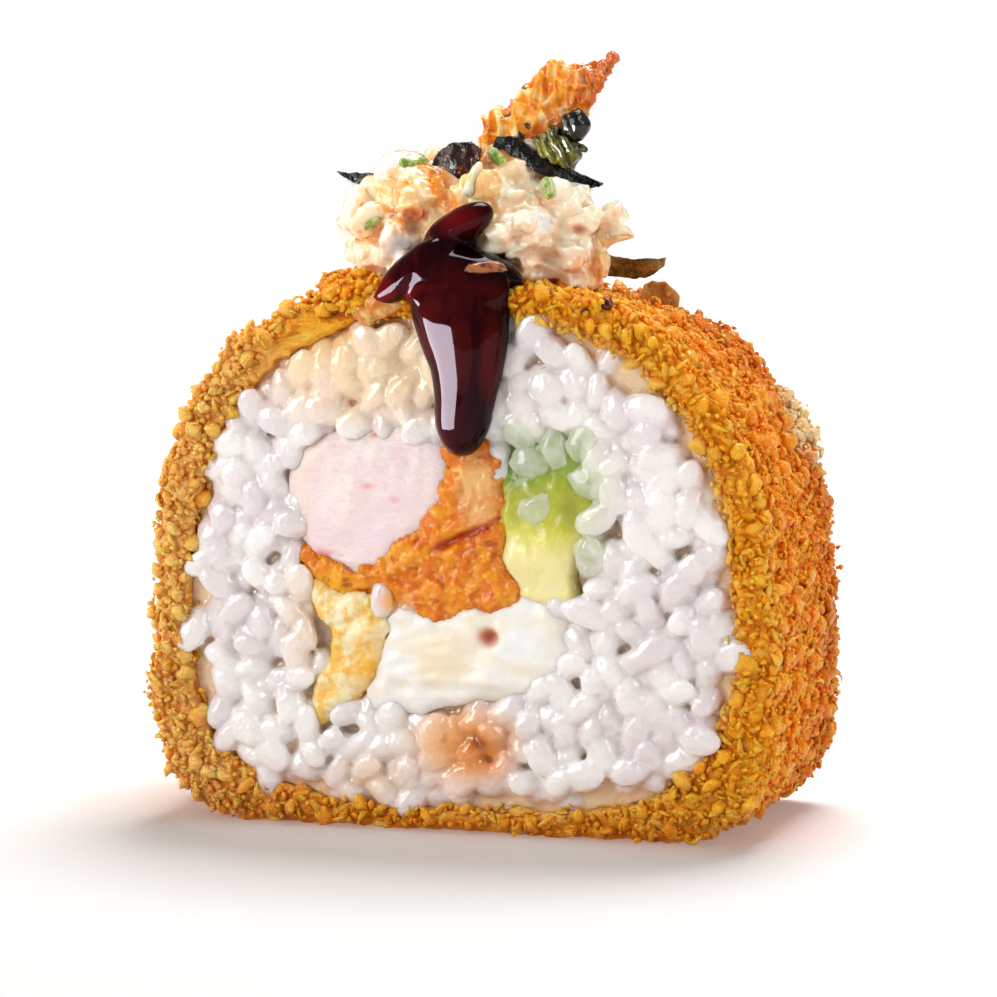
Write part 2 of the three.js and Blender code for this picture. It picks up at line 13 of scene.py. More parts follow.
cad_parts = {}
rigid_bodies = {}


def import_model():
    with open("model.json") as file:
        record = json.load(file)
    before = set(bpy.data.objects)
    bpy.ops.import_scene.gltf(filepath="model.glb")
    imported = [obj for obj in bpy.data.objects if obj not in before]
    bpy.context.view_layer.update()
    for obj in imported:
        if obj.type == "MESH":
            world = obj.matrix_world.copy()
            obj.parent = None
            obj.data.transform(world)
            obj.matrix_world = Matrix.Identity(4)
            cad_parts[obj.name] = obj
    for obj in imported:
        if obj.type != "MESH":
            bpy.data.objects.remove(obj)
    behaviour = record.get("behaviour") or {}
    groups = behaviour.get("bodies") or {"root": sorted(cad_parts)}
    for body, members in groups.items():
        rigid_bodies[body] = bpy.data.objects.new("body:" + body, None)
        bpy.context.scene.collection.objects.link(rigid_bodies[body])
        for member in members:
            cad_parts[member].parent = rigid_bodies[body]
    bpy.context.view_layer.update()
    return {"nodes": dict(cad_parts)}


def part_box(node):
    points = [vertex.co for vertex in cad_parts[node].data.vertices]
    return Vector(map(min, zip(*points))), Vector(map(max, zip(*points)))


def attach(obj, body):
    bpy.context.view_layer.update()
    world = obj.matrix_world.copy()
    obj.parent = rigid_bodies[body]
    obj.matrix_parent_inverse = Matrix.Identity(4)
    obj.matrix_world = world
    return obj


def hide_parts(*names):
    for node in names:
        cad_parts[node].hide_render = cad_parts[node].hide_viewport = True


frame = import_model()

# Prawn: one boiled prawn cut straight across, in the upper left of the filling. The flesh
# is pinkish white and faintly fibrous, with red from the shell left at its edges. It starts
# as a copy of its solid with a finer skin, as every filling does.
MM = 0.001
SAME_POINT = 0.002


def new_piece(name, data):
    """Puts a mesh, light or camera in the scene under that name."""
    piece = bpy.data.objects.new(name, data)
    bpy.context.scene.collection.objects.link(piece)
    return piece


def copy_of(node, name):
    """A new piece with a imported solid's mesh, its loose triangles joined."""
    solid = bmesh.new()
    solid.from_mesh(frame["nodes"][node].data)
    bmesh.ops.remove_doubles(solid, verts=solid.verts, dist=SAME_POINT * MM)
    solid.verts.index_update()
    corners = [vertex.co[:] for vertex in solid.verts]
    faces = [[vertex.index for vertex in face.verts] for face in solid.faces]
    solid.free()
    mesh = bpy.data.meshes.new(name)
    mesh.from_pydata(corners, [], faces)
    return new_piece(name, mesh)


def settle(piece):
    """Makes a piece's modifiers part of its mesh."""
    graph = bpy.context.evaluated_depsgraph_get()
    shape = bpy.data.meshes.new_from_object(piece.evaluated_get(graph))
    piece.modifiers.clear()
    piece.data = shape
    return piece


def reskin(piece, face_size, softening):
    """Gives a piece one even skin with faces of that size in mm, then softens it."""
    remesh = piece.modifiers.new("skin", "REMESH")
    remesh.mode = "VOXEL"
    remesh.voxel_size = face_size * MM
    if softening:
        soften = piece.modifiers.new("soften", "SMOOTH")
        soften.factor = 0.5
        soften.iterations = softening
    return settle(piece)


def emboss(piece, height):
    """Raises each point of a piece along its normal by height(point), all in mm."""
    mesh = piece.data
    normals = [vertex.normal.copy() for vertex in mesh.vertices]
    for vertex, normal in zip(mesh.vertices, normals):
        vertex.co += normal * (height(vertex.co / MM) * MM)
    mesh.update()
    return piece


def dress(piece, material, slot, *nodes):
    """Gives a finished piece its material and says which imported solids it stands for."""
    piece.data.materials.clear()
    piece.data.materials.append(material)
    piece.data.shade_smooth()
    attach(piece, "root")
    if nodes:
        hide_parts(*nodes)
    return piece


class Wire:
    """One value in a node tree. Sums written with it add the Math nodes that they need."""

    def __init__(self, tree, socket=None):
        self.tree = tree
        self.socket = socket

    def node(self, kind, settings=None, inputs=None, output=0):
        """Adds any other node: first its settings, then the values or links of its sockets."""
        made = self.tree.nodes.new(kind)
        for name, value in (settings or {}).items():
            setattr(made, name, value)
        for key, value in (inputs or {}).items():
            if isinstance(value, Wire):
                self.tree.links.new(value.socket, made.inputs[key])
            else:
                made.inputs[key].default_value = value
        return Wire(self.tree, made.outputs[output])

    def maths(self, operation, *values):
        return self.node("ShaderNodeMath", {"operation": operation}, dict(enumerate(values)))

    def __add__(self, other):
        return self.maths("ADD", self, other)

    def __sub__(self, other):
        return self.maths("SUBTRACT", self, other)

    def __rsub__(self, other):
        return self.maths("SUBTRACT", other, self)

    def __mul__(self, other):
        return self.maths("MULTIPLY", self, other)

    def __truediv__(self, other):
        return self.maths("DIVIDE", self, other)

    def __rtruediv__(self, other):
        return self.maths("DIVIDE", other, self)

    def __abs__(self):
        return self.maths("ABSOLUTE", self)

    __radd__ = __add__
    __rmul__ = __mul__

    def from_to(self, low, high):
        """0 at low, 1 at high and smooth between them."""
        values = {"Value": self, "From Min": low, "From Max": high}
        return self.node("ShaderNodeMapRange", {"interpolation_type": "SMOOTHSTEP"}, values)

    def clouds(self, size, detail=2.0, roughness=0.5, distortion=0.0):
        """Soft noise from 0 to 1 at a place, in lumps about size mm across."""
        values = {"Vector": self, "Scale": 1 / size, "Detail": detail}
        values.update({"Roughness": roughness, "Distortion": distortion})
        return self.node("ShaderNodeTexNoise", {}, values)

    def cells(self, size, feature="F1"):
        """How far a place is from the nearest of scattered points size mm apart."""
        values = {"Vector": self, "Scale": 1 / size}
        return self.node("ShaderNodeTexVoronoi", {"feature": feature}, values)

    def mark(self, name):
        """A number that the mesh itself carries at each point, by its name."""
        return self.node("ShaderNodeAttribute", {"attribute_name": name}, {}, 2)

    def stretched(self, *factors):
        values = {0: self, 1: factors}
        return self.node("ShaderNodeVectorMath", {"operation": "MULTIPLY"}, values)

    def axis(self, number):
        return self.node("ShaderNodeSeparateXYZ", {}, {0: self}, number)

    def near(self, middle, reach, soft=1.0):
        """1 at a middle point, falling to 0 at the edge of an ellipsoid, all in mm.

        A middle and reach of x and z alone run all through the slice.
        """
        if len(middle) == 2:
            middle = (middle[0], 0, middle[1])
            reach = (reach[0], ALL_THROUGH, reach[1])
        away = self.node("ShaderNodeVectorMath", {"operation": "SUBTRACT"}, {0: self, 1: middle})
        shares = away.stretched(*(1 / size for size in reach))
        length = shares.node("ShaderNodeVectorMath", {"operation": "LENGTH"}, {0: shares}, 1)
        return length.from_to(1.0, 1.0 - soft)

    def mix(self, low, high):
        """The colour low where this value is 0, and high where it is 1: wires or codes."""
        values = {0: self, 6: low, 7: high}
        for key in (6, 7):
            if isinstance(values[key], str):
                values[key] = colour(values[key])
        return self.node("ShaderNodeMix", {"data_type": "RGBA"}, values, 2)

    def feed(self, shader, name):
        self.tree.links.new(self.socket, shader.inputs[name])

    def bump(self, shader, height):
        """Feeds this value to a shader's normal as relief of that height in mm."""
        relief = self.node("ShaderNodeBump", {}, {"Height": self, "Distance": height * MM})
        relief.feed(shader, "Normal")


def colour(code):
    """Linear colour values from a six-figure code."""
    parts = [int(code[i : i + 2], 16) / 255 for i in (0, 2, 4)]
    return [*Color(parts).from_srgb_to_scene_linear(), 1.0]


def finish(name, settings):
    """A new material: gives it, its shader, and the place on the piece in mm."""
    material = bpy.data.materials.new(name)
    material.use_nodes = True
    tree = material.node_tree
    shader = tree.nodes["Principled BSDF"]
    for socket, value in settings.items():
        shader.inputs[socket].default_value = value
    place = Wire(tree).node("ShaderNodeTexCoord", output=3)
    return material, shader, place.stretched(1 / MM, 1 / MM, 1 / MM)


def soft_inside(share, spread, depth):
    """Settings for food that light sinks into, depth mm deep and spread by colour."""
    return {
        "Subsurface Weight": share,
        "Subsurface Radius": spread,
        "Subsurface Scale": depth * MM,
    }


def wet_film(share, roughness):
    """Settings for a film of water, oil or dressing."""
    return {"Coat Weight": share, "Coat Roughness": roughness}


def stained(tone, place, marks):
    """Lays soft marks of (middle, reach, colour code, strength) over a tone."""
    for middle, reach, code, strength in marks:
        tone = (place.near(middle, reach, 0.8) * strength).mix(tone, code)
    return tone


ALL_THROUGH = 60.0
MEET = 0.35
FACE_SHARE = 0.965


def make_filling(node, name, slot, material, face_size, softening, height):
    """A filling with its own skin and relief, its cut faces sunk a little into the rice."""
    piece = reskin(copy_of(node, name), face_size, softening)
    emboss(piece, height)
    for vertex in piece.data.vertices:
        vertex.co.y *= FACE_SHARE
    return dress(piece, material, slot, node)


flesh, shader, place = finish(
    "prawn_flesh",
    {"Roughness": 0.34, **soft_inside(0.6, (1.0, 0.6, 0.5), 1.2), **wet_film(0.2, 0.2)},
)
fibres = place.stretched(1.0, 0.3, 2.2).clouds(1.1, 4.0, 0.6, 0.8)
tone = place.clouds(4.5, 3.0).from_to(0.35, 0.7).mix("F8DFE4", "FCE8E2")
tone = fibres.from_to(0.5, 0.8).mix(tone, "F7D2CC")
ragged = place.clouds(1.6, 3.0, 0.6)
PRAWN_MARKS = [
    ((-9, 41.5), (9, 4.5), "F8DDBC", 0.95),
    ((-16, 38), (4, 6), "F8DFC8", 0.8),
    ((-16.5, 31), (3, 6), "F9DECF", 0.8),
    ((-1.0, 27.5), (6, 4), "F0A870", 0.9),
    ((-5, 25.0), (6, 2.4), "F2B58C", 0.8),
]
tone = stained(tone, place, PRAWN_MARKS)
RED_MARKS = [
    ((-8.4, 39.0), (2.2, 0.7), 0.95),
    ((-13.9, 26.6), (1.9, 1.4), 0.8),
    ((-9.0, 33.8), (1.4, 0.6), 0.45),
    ((-6.2, 32.6), (0.9, 0.6), 0.35),
    ((-15.8, 29), (0.9, 2.6), 0.35),
]
for middle, reach, strength in RED_MARKS:
    mark = place.near(middle, reach, 0.9) * ragged.from_to(0.3, 0.55) * strength
    tone = mark.mix(tone, "E4492C")
tone.feed(shader, "Base Color")
(fibres + place.clouds(0.35, 2.0) * 0.3).bump(shader, 0.16)


def flesh_lumps(p):
    return MEET + 0.35 * noise.noise(p / 4.5) + 0.12 * noise.noise(p / 1.4)


prawn = make_filling("prawn", "prawn_flesh", "prawn", flesh, 0.35, 3, flesh_lumps)

# Prawn batter: the fried coat round the prawn, torn open where the roll was cut. It is
# orange-gold and glossy, craggy with bubbles and folds, and dark red where it is deepest. Its
# colour is also painted darker in the low parts of its crease relief, as shade.
FOLD_ALONG = 0.43
FOLD_ACROSS = 0.9
FOLD_PLACE = 25.9
FOLD_MIDDLE = (0.8, 29.2)
FOLD_HALF = 4.6
FOLD_WIDTH = 0.45
FOLD_DEPTH = 0.9


def batter_crags(p):
    folds = 0.4 - abs(noise.noise(p / 1.6 + Vector((7, 0, 3))))
    fine = 0.35 - abs(noise.noise(p / 0.75 + Vector((2, 5, 1))))
    off_fold = FOLD_ACROSS * p.z - FOLD_ALONG * p.x - FOLD_PLACE
    ends = max(0.0, 1 - abs(p.x - FOLD_MIDDLE[0]) / FOLD_HALF)
    torn = FOLD_DEPTH * ends * math.exp(-((off_fold / FOLD_WIDTH) ** 2))
    return MEET + 0.45 * noise.noise(p / 2.2) + 0.8 * folds + 0.4 * fine - torn


batter, shader, place = finish(
    "prawn_batter",
    {
        "Roughness": 0.26,
        **soft_inside(0.45, (1.0, 0.45, 0.15), 1.0),
        "Specular Tint": (1.0, 0.75, 0.45, 1.0),
        **wet_film(0.3, 0.1),
    },
)
patches = place.clouds(2.0, 4.0, 0.6, 0.5)
tone = patches.from_to(0.38, 0.64).mix("DE6C04", "F3A024")
pale_right = place.near((2.2, 33.4), (2.8, 5.0), 0.6)
tone = (pale_right * patches.from_to(0.2, 0.5)).mix(tone, "EDB878")
BATTER_MARKS = [
    ((-12.6, 23.6), (4.2, 3.6), "F7AE12", 0.9),
    ((-1.5, 37.6), (2.4, 1.6), "D97A14", 0.8),
    ((5.0, 27), (1.6, 5), "D07A1E", 0.6),
    ((-5.1, 22.3), (1.6, 1.3), "F1BC72", 0.7),
]
tone = stained(tone, place, BATTER_MARKS)
# Pale flecks: partly the batter's colour, partly painted glints.
flecks_and_glints = place.cells(1.1).from_to(0.3, 0.1)
tone = (flecks_and_glints * 0.4).mix(tone, "FAD08A")
# The low parts of this crease relief are painted darker, as shade.
crease_relief_and_shade = place.clouds(1.5, 2.0, 0.5, 0.4)
tone = (crease_relief_and_shade.from_to(0.42, 0.32) * (1 - pale_right) * 0.7).mix(tone, "A8400A")
soft_folds = place.stretched(1.0, 1.0, 0.35).clouds(1.0, 2.0)
tone = (pale_right * soft_folds.from_to(0.5, 0.62) * 0.5).mix(tone, "DE8E30")
off_fold = place.axis(2) * FOLD_ACROSS - place.axis(0) * FOLD_ALONG - FOLD_PLACE
off_fold = off_fold + (place.clouds(2.5) - 0.5) * 0.9
in_fold = abs(off_fold).from_to(0.8, 0.15)
in_fold = in_fold * place.near(FOLD_MIDDLE, (FOLD_HALF, 4.0), 0.4)
tone = (in_fold * 0.95).mix(tone, "AC2806")
tone.feed(shader, "Base Color")
(place.clouds(0.5, 3.0) + crease_relief_and_shade).bump(shader, 0.15)

coat = make_filling("prawn_batter", "prawn_coat", "prawn_batter", batter, 0.24, 4, batter_crags)

# Egg strip: a strip of egg crumb and sauce that runs beside the cheese. It is pale yellow
# and full of small holes, and deeper yellow where it is wet, at its left edge.
def egg_pores(p):
    open_cells = 0.3 - abs(noise.noise(p / 0.9 + Vector((4, 2, 0))))
    return MEET + 0.4 * noise.noise(p / 2.0) + 0.45 * open_cells


egg, shader, place = finish(
    "egg_strip",
    {"Roughness": 0.36, **soft_inside(0.5, (1.0, 0.7, 0.25), 1.0), **wet_film(0.2, 0.2)},
)
patches = place.clouds(1.8, 4.0, 0.6, 0.4)
tone = patches.from_to(0.4, 0.6).mix("FBC450", "FDECC0")
wet_edge = place.near((-9.0, 16.0), (3.0, 5.4), 0.7)
tone = (wet_edge * 0.5).mix(tone, "F8B420")
tone = (patches.from_to(0.4, 0.3) * 0.5).mix(tone, "EA9E22")
tone.feed(shader, "Base Color")
place.clouds(0.4, 3.0).bump(shader, 0.12)

strip = make_filling("egg_strip", "egg_crumb", "egg", egg, 0.26, 3, egg_pores)

# Cream cheese: a soft white block under the prawn, smeared by the knife. One small pit in
# its face is stained orange by the batter.
CHEESE_PIT = Vector((3.3, -14.0, 19.4))
PIT_RADIUS = 0.85
PIT_DEPTH = 1.6


def cheese_face(p):
    pit = math.exp(-(((p - CHEESE_PIT).length / PIT_RADIUS) ** 2))
    smear = 0.3 - abs(noise.noise(Vector((p.x * 0.25, p.y, p.z * 0.6))))
    lumps = 0.5 * noise.noise(p / 3.4) + 0.14 * noise.noise(p / 1.1)
    return MEET + lumps + 0.4 * smear - PIT_DEPTH * pit


cheese, shader, place = finish(
    "cream_cheese",
    {"Roughness": 0.38, **soft_inside(0.6, (1.0, 0.9, 0.75), 1.2)},
)
smears = place.stretched(0.6, 0.3, 1.0).clouds(2.6, 4.0, 0.55, 0.6)
tone = smears.from_to(0.4, 0.65).mix("FFFAF5", "FCEEDC")
CHEESE_MARKS = [
    ((-1.2, 17.2), (5.5, 4.6), "FCE4C0", 0.8),
    ((2.0, 20.5), (4.5, 2.0), "FBEAD2", 0.6),
    (CHEESE_PIT, (1.5, 4, 1.3), "CC5E10", 1.0),
]
tone = stained(tone, place, CHEESE_MARKS)
tone.feed(shader, "Base Color")
(smears + place.clouds(0.5, 3.0) * 0.3).bump(shader, 0.16)

block = make_filling("cream_cheese", "cheese_block", "cream_cheese", cheese, 0.3, 3, cheese_face)

# Avocado: a soft slice on its edge, right of the prawn. It goes from dark green under the
# skin at the top to pale butter yellow below.
avocado, shader, place = finish(
    "avocado_flesh",
    {"Roughness": 0.3, **soft_inside(0.5, (0.8, 1.0, 0.3), 1.0), **wet_film(0.3, 0.15)},
)
wander = place.clouds(2.2, 3.0, 0.55, 0.4)
height = place.axis(2) + 5.0 * (wander - 0.5)
tone = height.from_to(26.5, 30.5).mix("F6E9A4", "DCD654")
tone = height.from_to(29, 33).mix(tone, "B2B428")
tone = height.from_to(33, 36.5).mix(tone, "86A030")
AVOCADO_MARKS = [
    ((6.2, 36.8), (3.4, 4.0), "3E6E18", 0.9),
    ((12.4, 25), (1.6, 5), "8E8414", 0.9),
    ((11.6, 32), (1.4, 3), "93921E", 0.7),
]
tone = stained(tone, place, AVOCADO_MARKS)
tone = (wander.from_to(0.58, 0.72) * 0.5).mix(tone, "F4EEC0")
tone.feed(shader, "Base Color")
(wander + place.clouds(0.45, 3.0) * 0.4).bump(shader, 0.14)


def avocado_lumps(p):
    return MEET + 0.5 * noise.noise(p / 2.6) + 0.15 * noise.noise(p / 0.9)


avocado_slice = make_filling("avocado", "avocado_slice", "avocado", avocado, 0.3, 3, avocado_lumps)

# Rice: sticky rice packed round the fillings and cut with a wet knife. Plump grains lie every
# way in both cut faces. Deeper in, between them, they turn brown, part dirt and part painted
# shade in the gaps, and pale next to the crust. A few clear ones are seen end on round the
# avocado. The middle doesn't show and stays plain.
GRAIN_LENGTH = 5.0
GRAIN_WIDTH = 3.2
GRAIN_THICKNESS = 2.7
GRAIN_SIZES = (0.8, 1.15)
GRAIN_TILT = 0.65
GRAIN_LAYERS = {
    "upper grains": {"spacing": 2.15, "lift": (0.05, 0.75), "seed": 5},
    "lower grains": {"spacing": 2.3, "lift": (-0.9, -0.3), "seed": 6},
}
GRAINS_PAST = 11.0
SEAT_FACE = 0.8
SEAT_GROWTH = 0.6
SEAT_DEPTH = 12.4
SLAB_BACK = 10.0
FACE_BACK = 11.6
RICE_SKIN = 0.21
FLAT_ENOUGH = 0.5
KNIFE_DEPTH = 14.0
KNIFE_LEAVES = 0.35
CLEAR_GRAIN = (2.1, 1.0, 1.5)
CLEAR_GRAIN_DEPTH = 13.3
CLEAR_GRAIN_TURN = 1.3
FILLING_CLEARANCE = 0.3
CRUST_CLEARANCE = 0.8
GAP_STARTS = 12.95
GAP_DEEP = 12.35
RIM_MIDDLE = (0, 26.5)
RIM_REACH = (28, 25)
RIM_SHARE = 0.16
TONES_MIXED = 6
CLEAR_GRAINS = [
    (7.4, 36.6),
    (9.9, 37.9),
    (8.0, 32.2),
    (6.2, 39.8),
    (12.6, 38.6),
    (13.2, 34.9),
    (13.4, 27.8),
]


def skin_of(mesh):
    """A tree that finds the nearest point of a mesh's surface."""
    shape = bmesh.new()
    shape.from_mesh(mesh)
    tree = BVHTree.FromBMesh(shape)
    shape.free()
    return tree


def unit_ball(around, up):
    ball = bmesh.new()
    bmesh.ops.create_uvsphere(ball, u_segments=around, v_segments=up, radius=1.0)
    return ball


def mesh_from(shape, name):
    mesh = bpy.data.meshes.new(name)
    shape.to_mesh(mesh)
    shape.free()
    return mesh


def join(name, meshes):
    """One mesh from several."""
    whole = bmesh.new()
    for mesh in meshes:
        whole.from_mesh(mesh)
    return mesh_from(whole, name)


def mark_points(mesh, name, values):
    """Gives each point of a mesh a number, by a name that a material or a layer reads."""
    if name in mesh.attributes:
        mesh.attributes.remove(mesh.attributes[name])
    mesh.attributes.new(name, "FLOAT", "POINT").data.foreach_set("value", values)


def grain_shape(bend, blunt):
    """A cooked grain along X: plump, a little bent, and blunter at one end."""
    ball = unit_ball(10, 6)
    ball.transform(Matrix.Rotation(math.pi / 2, 4, "Y"))
    for vertex in ball.verts:
        x, y, z = vertex.co
        girth = 1 + blunt * x
        rounding = abs(x) ** 0.95 * math.copysign(1, x)
        vertex.co.x = rounding * GRAIN_LENGTH / 2 * MM
        vertex.co.y = (y * girth * GRAIN_WIDTH / 2 + bend * x * x) * MM
        vertex.co.z = z * girth * GRAIN_THICKNESS / 2 * MM
    return mesh_from(ball, "grain")


def kit_of(name, shapes):
    """A collection of small shapes, kept out of the scene, that a layer picks from."""
    kit = bpy.data.collections.new(name)
    for shape in shapes:
        kit.objects.link(bpy.data.objects.new(shape.name, shape))
    return kit


POINTS_TRIED = 4.0
LAYER_INPUTS = {
    "Surface": "Geometry",
    "Shapes": "Collection",
    "Kinds": "Int",
    "Spacing": "Float",
    "Smallest": "Float",
    "Largest": "Float",
    "Tilt": "Float",
    "Lowest": "Float",
    "Highest": "Float",
    "Finish": "Material",
    "Seed": "Int",
}


def layer_tree():
    """Geometry Nodes that lay small shapes over the parts of a surface marked seat."""
    tree = bpy.data.node_groups.new("layer of small shapes", "GeometryNodeTree")
    for label, kind in LAYER_INPUTS.items():
        tree.interface.new_socket(label, in_out="INPUT", socket_type="NodeSocket" + kind)
    tree.interface.new_socket("Shapes", in_out="OUTPUT", socket_type="NodeSocketGeometry")
    entry = tree.nodes.new("NodeGroupInput")
    given = {label: Wire(tree, entry.outputs[label]) for label in LAYER_INPUTS}
    surface = given["Surface"]

    def draw(low, high, salt, kind="FLOAT", first=2, output=1):
        values = {first: low, first + 1: high, 8: given["Seed"] + salt}
        return surface.node("FunctionNodeRandomValue", {"data_type": kind}, values, output)

    seat = surface.node("GeometryNodeInputNamedAttribute", {"data_type": "FLOAT"}, {0: "seat"})
    density = POINTS_TRIED / (given["Spacing"] * given["Spacing"])
    spread = {
        "Mesh": surface,
        "Distance Min": given["Spacing"],
        "Density Max": density,
        "Density Factor": seat,
        "Seed": given["Seed"],
    }
    method = {"distribute_method": "POISSON"}
    points = surface.node("GeometryNodeDistributePointsOnFaces", method, spread)
    upright = Wire(tree, points.socket.node.outputs["Rotation"])
    lean = given["Tilt"]
    angles = {0: draw(lean * -1.0, lean, 1), 1: draw(lean * -1.0, lean, 2), 2: draw(0.0, 2 * math.pi, 3)}
    turns = surface.node("ShaderNodeCombineXYZ", {}, angles)
    turn = turns.node("FunctionNodeEulerToRotation", {}, {0: turns})
    local = {"rotation_space": "LOCAL"}
    turned = upright.node("FunctionNodeRotateRotation", local, {0: upright, 1: turn})
    picked = {"Collection": given["Shapes"], 1: True, 2: True}
    shapes = surface.node("GeometryNodeCollectionInfo", {}, picked)
    laid = {
        "Points": points,
        "Instance": shapes,
        "Pick Instance": True,
        "Instance Index": draw(0, given["Kinds"] - 1.0, 4, "INT", 4, 2),
        "Rotation": turned,
        "Scale": draw(given["Smallest"], given["Largest"], 5),
    }
    layer = surface.node("GeometryNodeInstanceOnPoints", {}, laid)
    lift = draw(given["Lowest"], given["Highest"], 6)
    up = lift.node("ShaderNodeCombineXYZ", {}, {2: lift})
    raised = up.node("FunctionNodeRotateVector", {}, {0: up, 1: upright})
    moved = {"Instances": layer, "Translation": raised, "Local Space": False}
    layer = layer.node("GeometryNodeTranslateInstances", {}, moved)
    stored = {"Geometry": layer, "Name": "tone", "Value": draw(0.0, 1.0, 7)}
    each = {"data_type": "FLOAT", "domain": "INSTANCE"}
    layer = layer.node("GeometryNodeStoreNamedAttribute", each, stored)
    layer = layer.node("GeometryNodeRealizeInstances", {}, {0: layer})
    coloured = {"Geometry": layer, "Material": given["Finish"]}
    layer = layer.node("GeometryNodeSetMaterial", {}, coloured)
    leave = tree.nodes.new("NodeGroupOutput")
    tree.links.new(layer.socket, leave.inputs[0])
    return tree


LAYER = layer_tree()


def lay_over(surface, name, shapes, finish_used, spacing, sizes, tilt, lift, seed):
    """A new piece: small shapes laid over a surface, with spacing and lift in mm."""
    piece = new_piece(name, surface.data.copy())
    kit = kit_of(name, shapes)
    values = {
        "Shapes": kit,
        "Kinds": len(shapes),
        "Spacing": spacing * MM,
        "Smallest": sizes[0],
        "Largest": sizes[1],
        "Tilt": tilt,
        "Lowest": lift[0] * MM,
        "Highest": lift[1] * MM,
        "Finish": finish_used,
        "Seed": seed,
    }
    layer = piece.modifiers.new("layer", "NODES")
    layer.node_group = LAYER
    for socket in LAYER.interface.items_tree:
        if socket.in_out == "INPUT" and socket.name in values:
            layer[socket.identifier] = values[socket.name]
    settle(piece)
    for shape in list(kit.objects):
        bpy.data.objects.remove(shape)
    bpy.data.collections.remove(kit)
    return piece


def mark_seat(piece, share):
    """Says where a layer may lie: share(point in mm, normal) is 0 to 1."""
    shares = [share(vertex.co / MM, vertex.normal) for vertex in piece.data.vertices]
    mark_points(piece.data, "seat", shares)


def run_together(name, pieces, face_size, softening):
    """One piece from several, their skins run together, each point with its part's tone."""
    tones = []
    for piece in pieces:
        mesh = piece.data
        if "tone" in mesh.attributes:
            marks = mesh.attributes["tone"].data
            tones += [(vertex.co.copy(), mark.value) for vertex, mark in zip(mesh.vertices, marks)]
    joined = join(name, [piece.data for piece in pieces])
    whole = reskin(new_piece(name, joined), face_size, softening)
    tree = kdtree.KDTree(len(tones))
    for index, (corner, _) in enumerate(tones):
        tree.insert(corner, index)
    tree.balance()
    mixed = []
    for vertex in whole.data.vertices:
        close_by = tree.find_n(vertex.co, TONES_MIXED)
        mixed.append(sum(tones[index][1] for _, index, _ in close_by) / TONES_MIXED)
    mark_points(whole.data, "tone", mixed)
    for piece in pieces:
        bpy.data.objects.remove(piece)
    return whole


def keep_slab(piece, low, high):
    """Cuts a closed piece down to what lies between two depths, in mm, with closed cuts."""
    shape = bmesh.new()
    shape.from_mesh(piece.data)
    for depth, side in ((low, -1), (high, 1)):
        cut = bmesh.ops.bisect_plane(
            shape,
            geom=shape.verts[:] + shape.edges[:] + shape.faces[:],
            plane_co=(0, depth * MM, 0),
            plane_no=(0, side, 0),
            clear_outer=True,
        )
        edges = [part for part in cut["geom_cut"] if isinstance(part, bmesh.types.BMEdge)]
        bmesh.ops.triangle_fill(shape, edges=edges, use_beauty=True, normal=(0, side, 0))
    shape.to_mesh(piece.data)
    shape.free()
    piece.data.update()
    return piece


def one_side(piece, side):
    """A copy of a layer with only the shapes on one side of the middle."""
    half = bmesh.new()
    half.from_mesh(piece.data)
    away = [vertex for vertex in half.verts if vertex.co.y * side < 0]
    bmesh.ops.delete(half, geom=away, context="VERTS")
    return new_piece("half", mesh_from(half, "half"))


def cut_by_knife(piece):
    """Presses what stands past the knife's cut nearly flat, on both faces."""
    for vertex in piece.data.vertices:
        proud = abs(vertex.co.y) - KNIFE_DEPTH * MM
        if proud > 0:
            vertex.co.y = math.copysign(KNIFE_DEPTH * MM + KNIFE_LEAVES * proud, vertex.co.y)
    return piece


rice, shader, place = finish(
    "cooked_rice",
    {"Roughness": 0.16, **soft_inside(0.65, (1.0, 0.9, 0.85), 1.2), **wet_film(1.0, 0.05)},
)
grain_tone = place.mark("tone")
tone = grain_tone.from_to(0.1, 0.9).mix("E6DCDC", "F8F2EE")
cream_rice = place.near((-9.5, 45.5), (16, 8), 0.6)
tone = (cream_rice * grain_tone.from_to(-0.6, 0.7)).mix(tone, "FBDBB4")
RICE_STAINS = [
    ((0.6, 8.8), (8.0, 6.4), "F2AC56", 0.95),
    ((2.6, 8.2), (5.0, 4.2), "E08A2C", 0.85),
    ((2.3, 9.0), (1.6, 1.3), "B4540C", 1.0),
    ((-8.5, 5), (6, 4), "F0D2B4", 0.7),
    ((-6.2, 22.6), (2.4, 2.4), "F2A84C", 1.0),
    ((-15.5, 21), (4, 9), "F3DABC", 0.6),
    ((10.5, 33.5), (7.5, 9), "D3DEAE", 0.85),
    ((7.0, 37.5), (3.6, 4), "9FB877", 0.6),
    ((6.5, 44), (4, 4), "EADFDA", 0.7),
    ((-14, 48.5), (6, 3.5), "F3C98C", 0.7),
]
tone = stained(tone, place, RICE_STAINS)
# Brown deeper in, between the grains: part dirt, part painted shade in the gaps; pale next to the crust.
gap_dirt_and_shade = abs(place.axis(1)).from_to(GAP_STARTS, GAP_DEEP)
off_rim = place.near(RIM_MIDDLE, RIM_REACH, RIM_SHARE)
tone = (gap_dirt_and_shade * 0.9).mix(tone, off_rim.mix("F6D2A2", "A27C4A"))
tone.feed(shader, "Base Color")
(place.clouds(0.7, 3.0) + place.clouds(2.0, 2.0)).bump(shader, 0.16)

fillings = (prawn, coat, strip, block, avocado_slice)
filling_skin = skin_of(join("fillings", [piece.data for piece in fillings]))
crust_wall = skin_of(frame["nodes"]["crust"].data)


def rice_share(p, normal):
    """Grains lie on the cut faces, a little away from the fillings and the crust."""
    if abs(normal.y) < FLAT_ENOUGH or abs(p.y) < GRAINS_PAST:
        return 0.0
    from_filling = filling_skin.find_nearest(p * MM)[3] / MM
    from_crust = crust_wall.find_nearest(p * MM)[3] / MM
    return float(from_filling > FILLING_CLEARANCE and from_crust > CRUST_CLEARANCE)


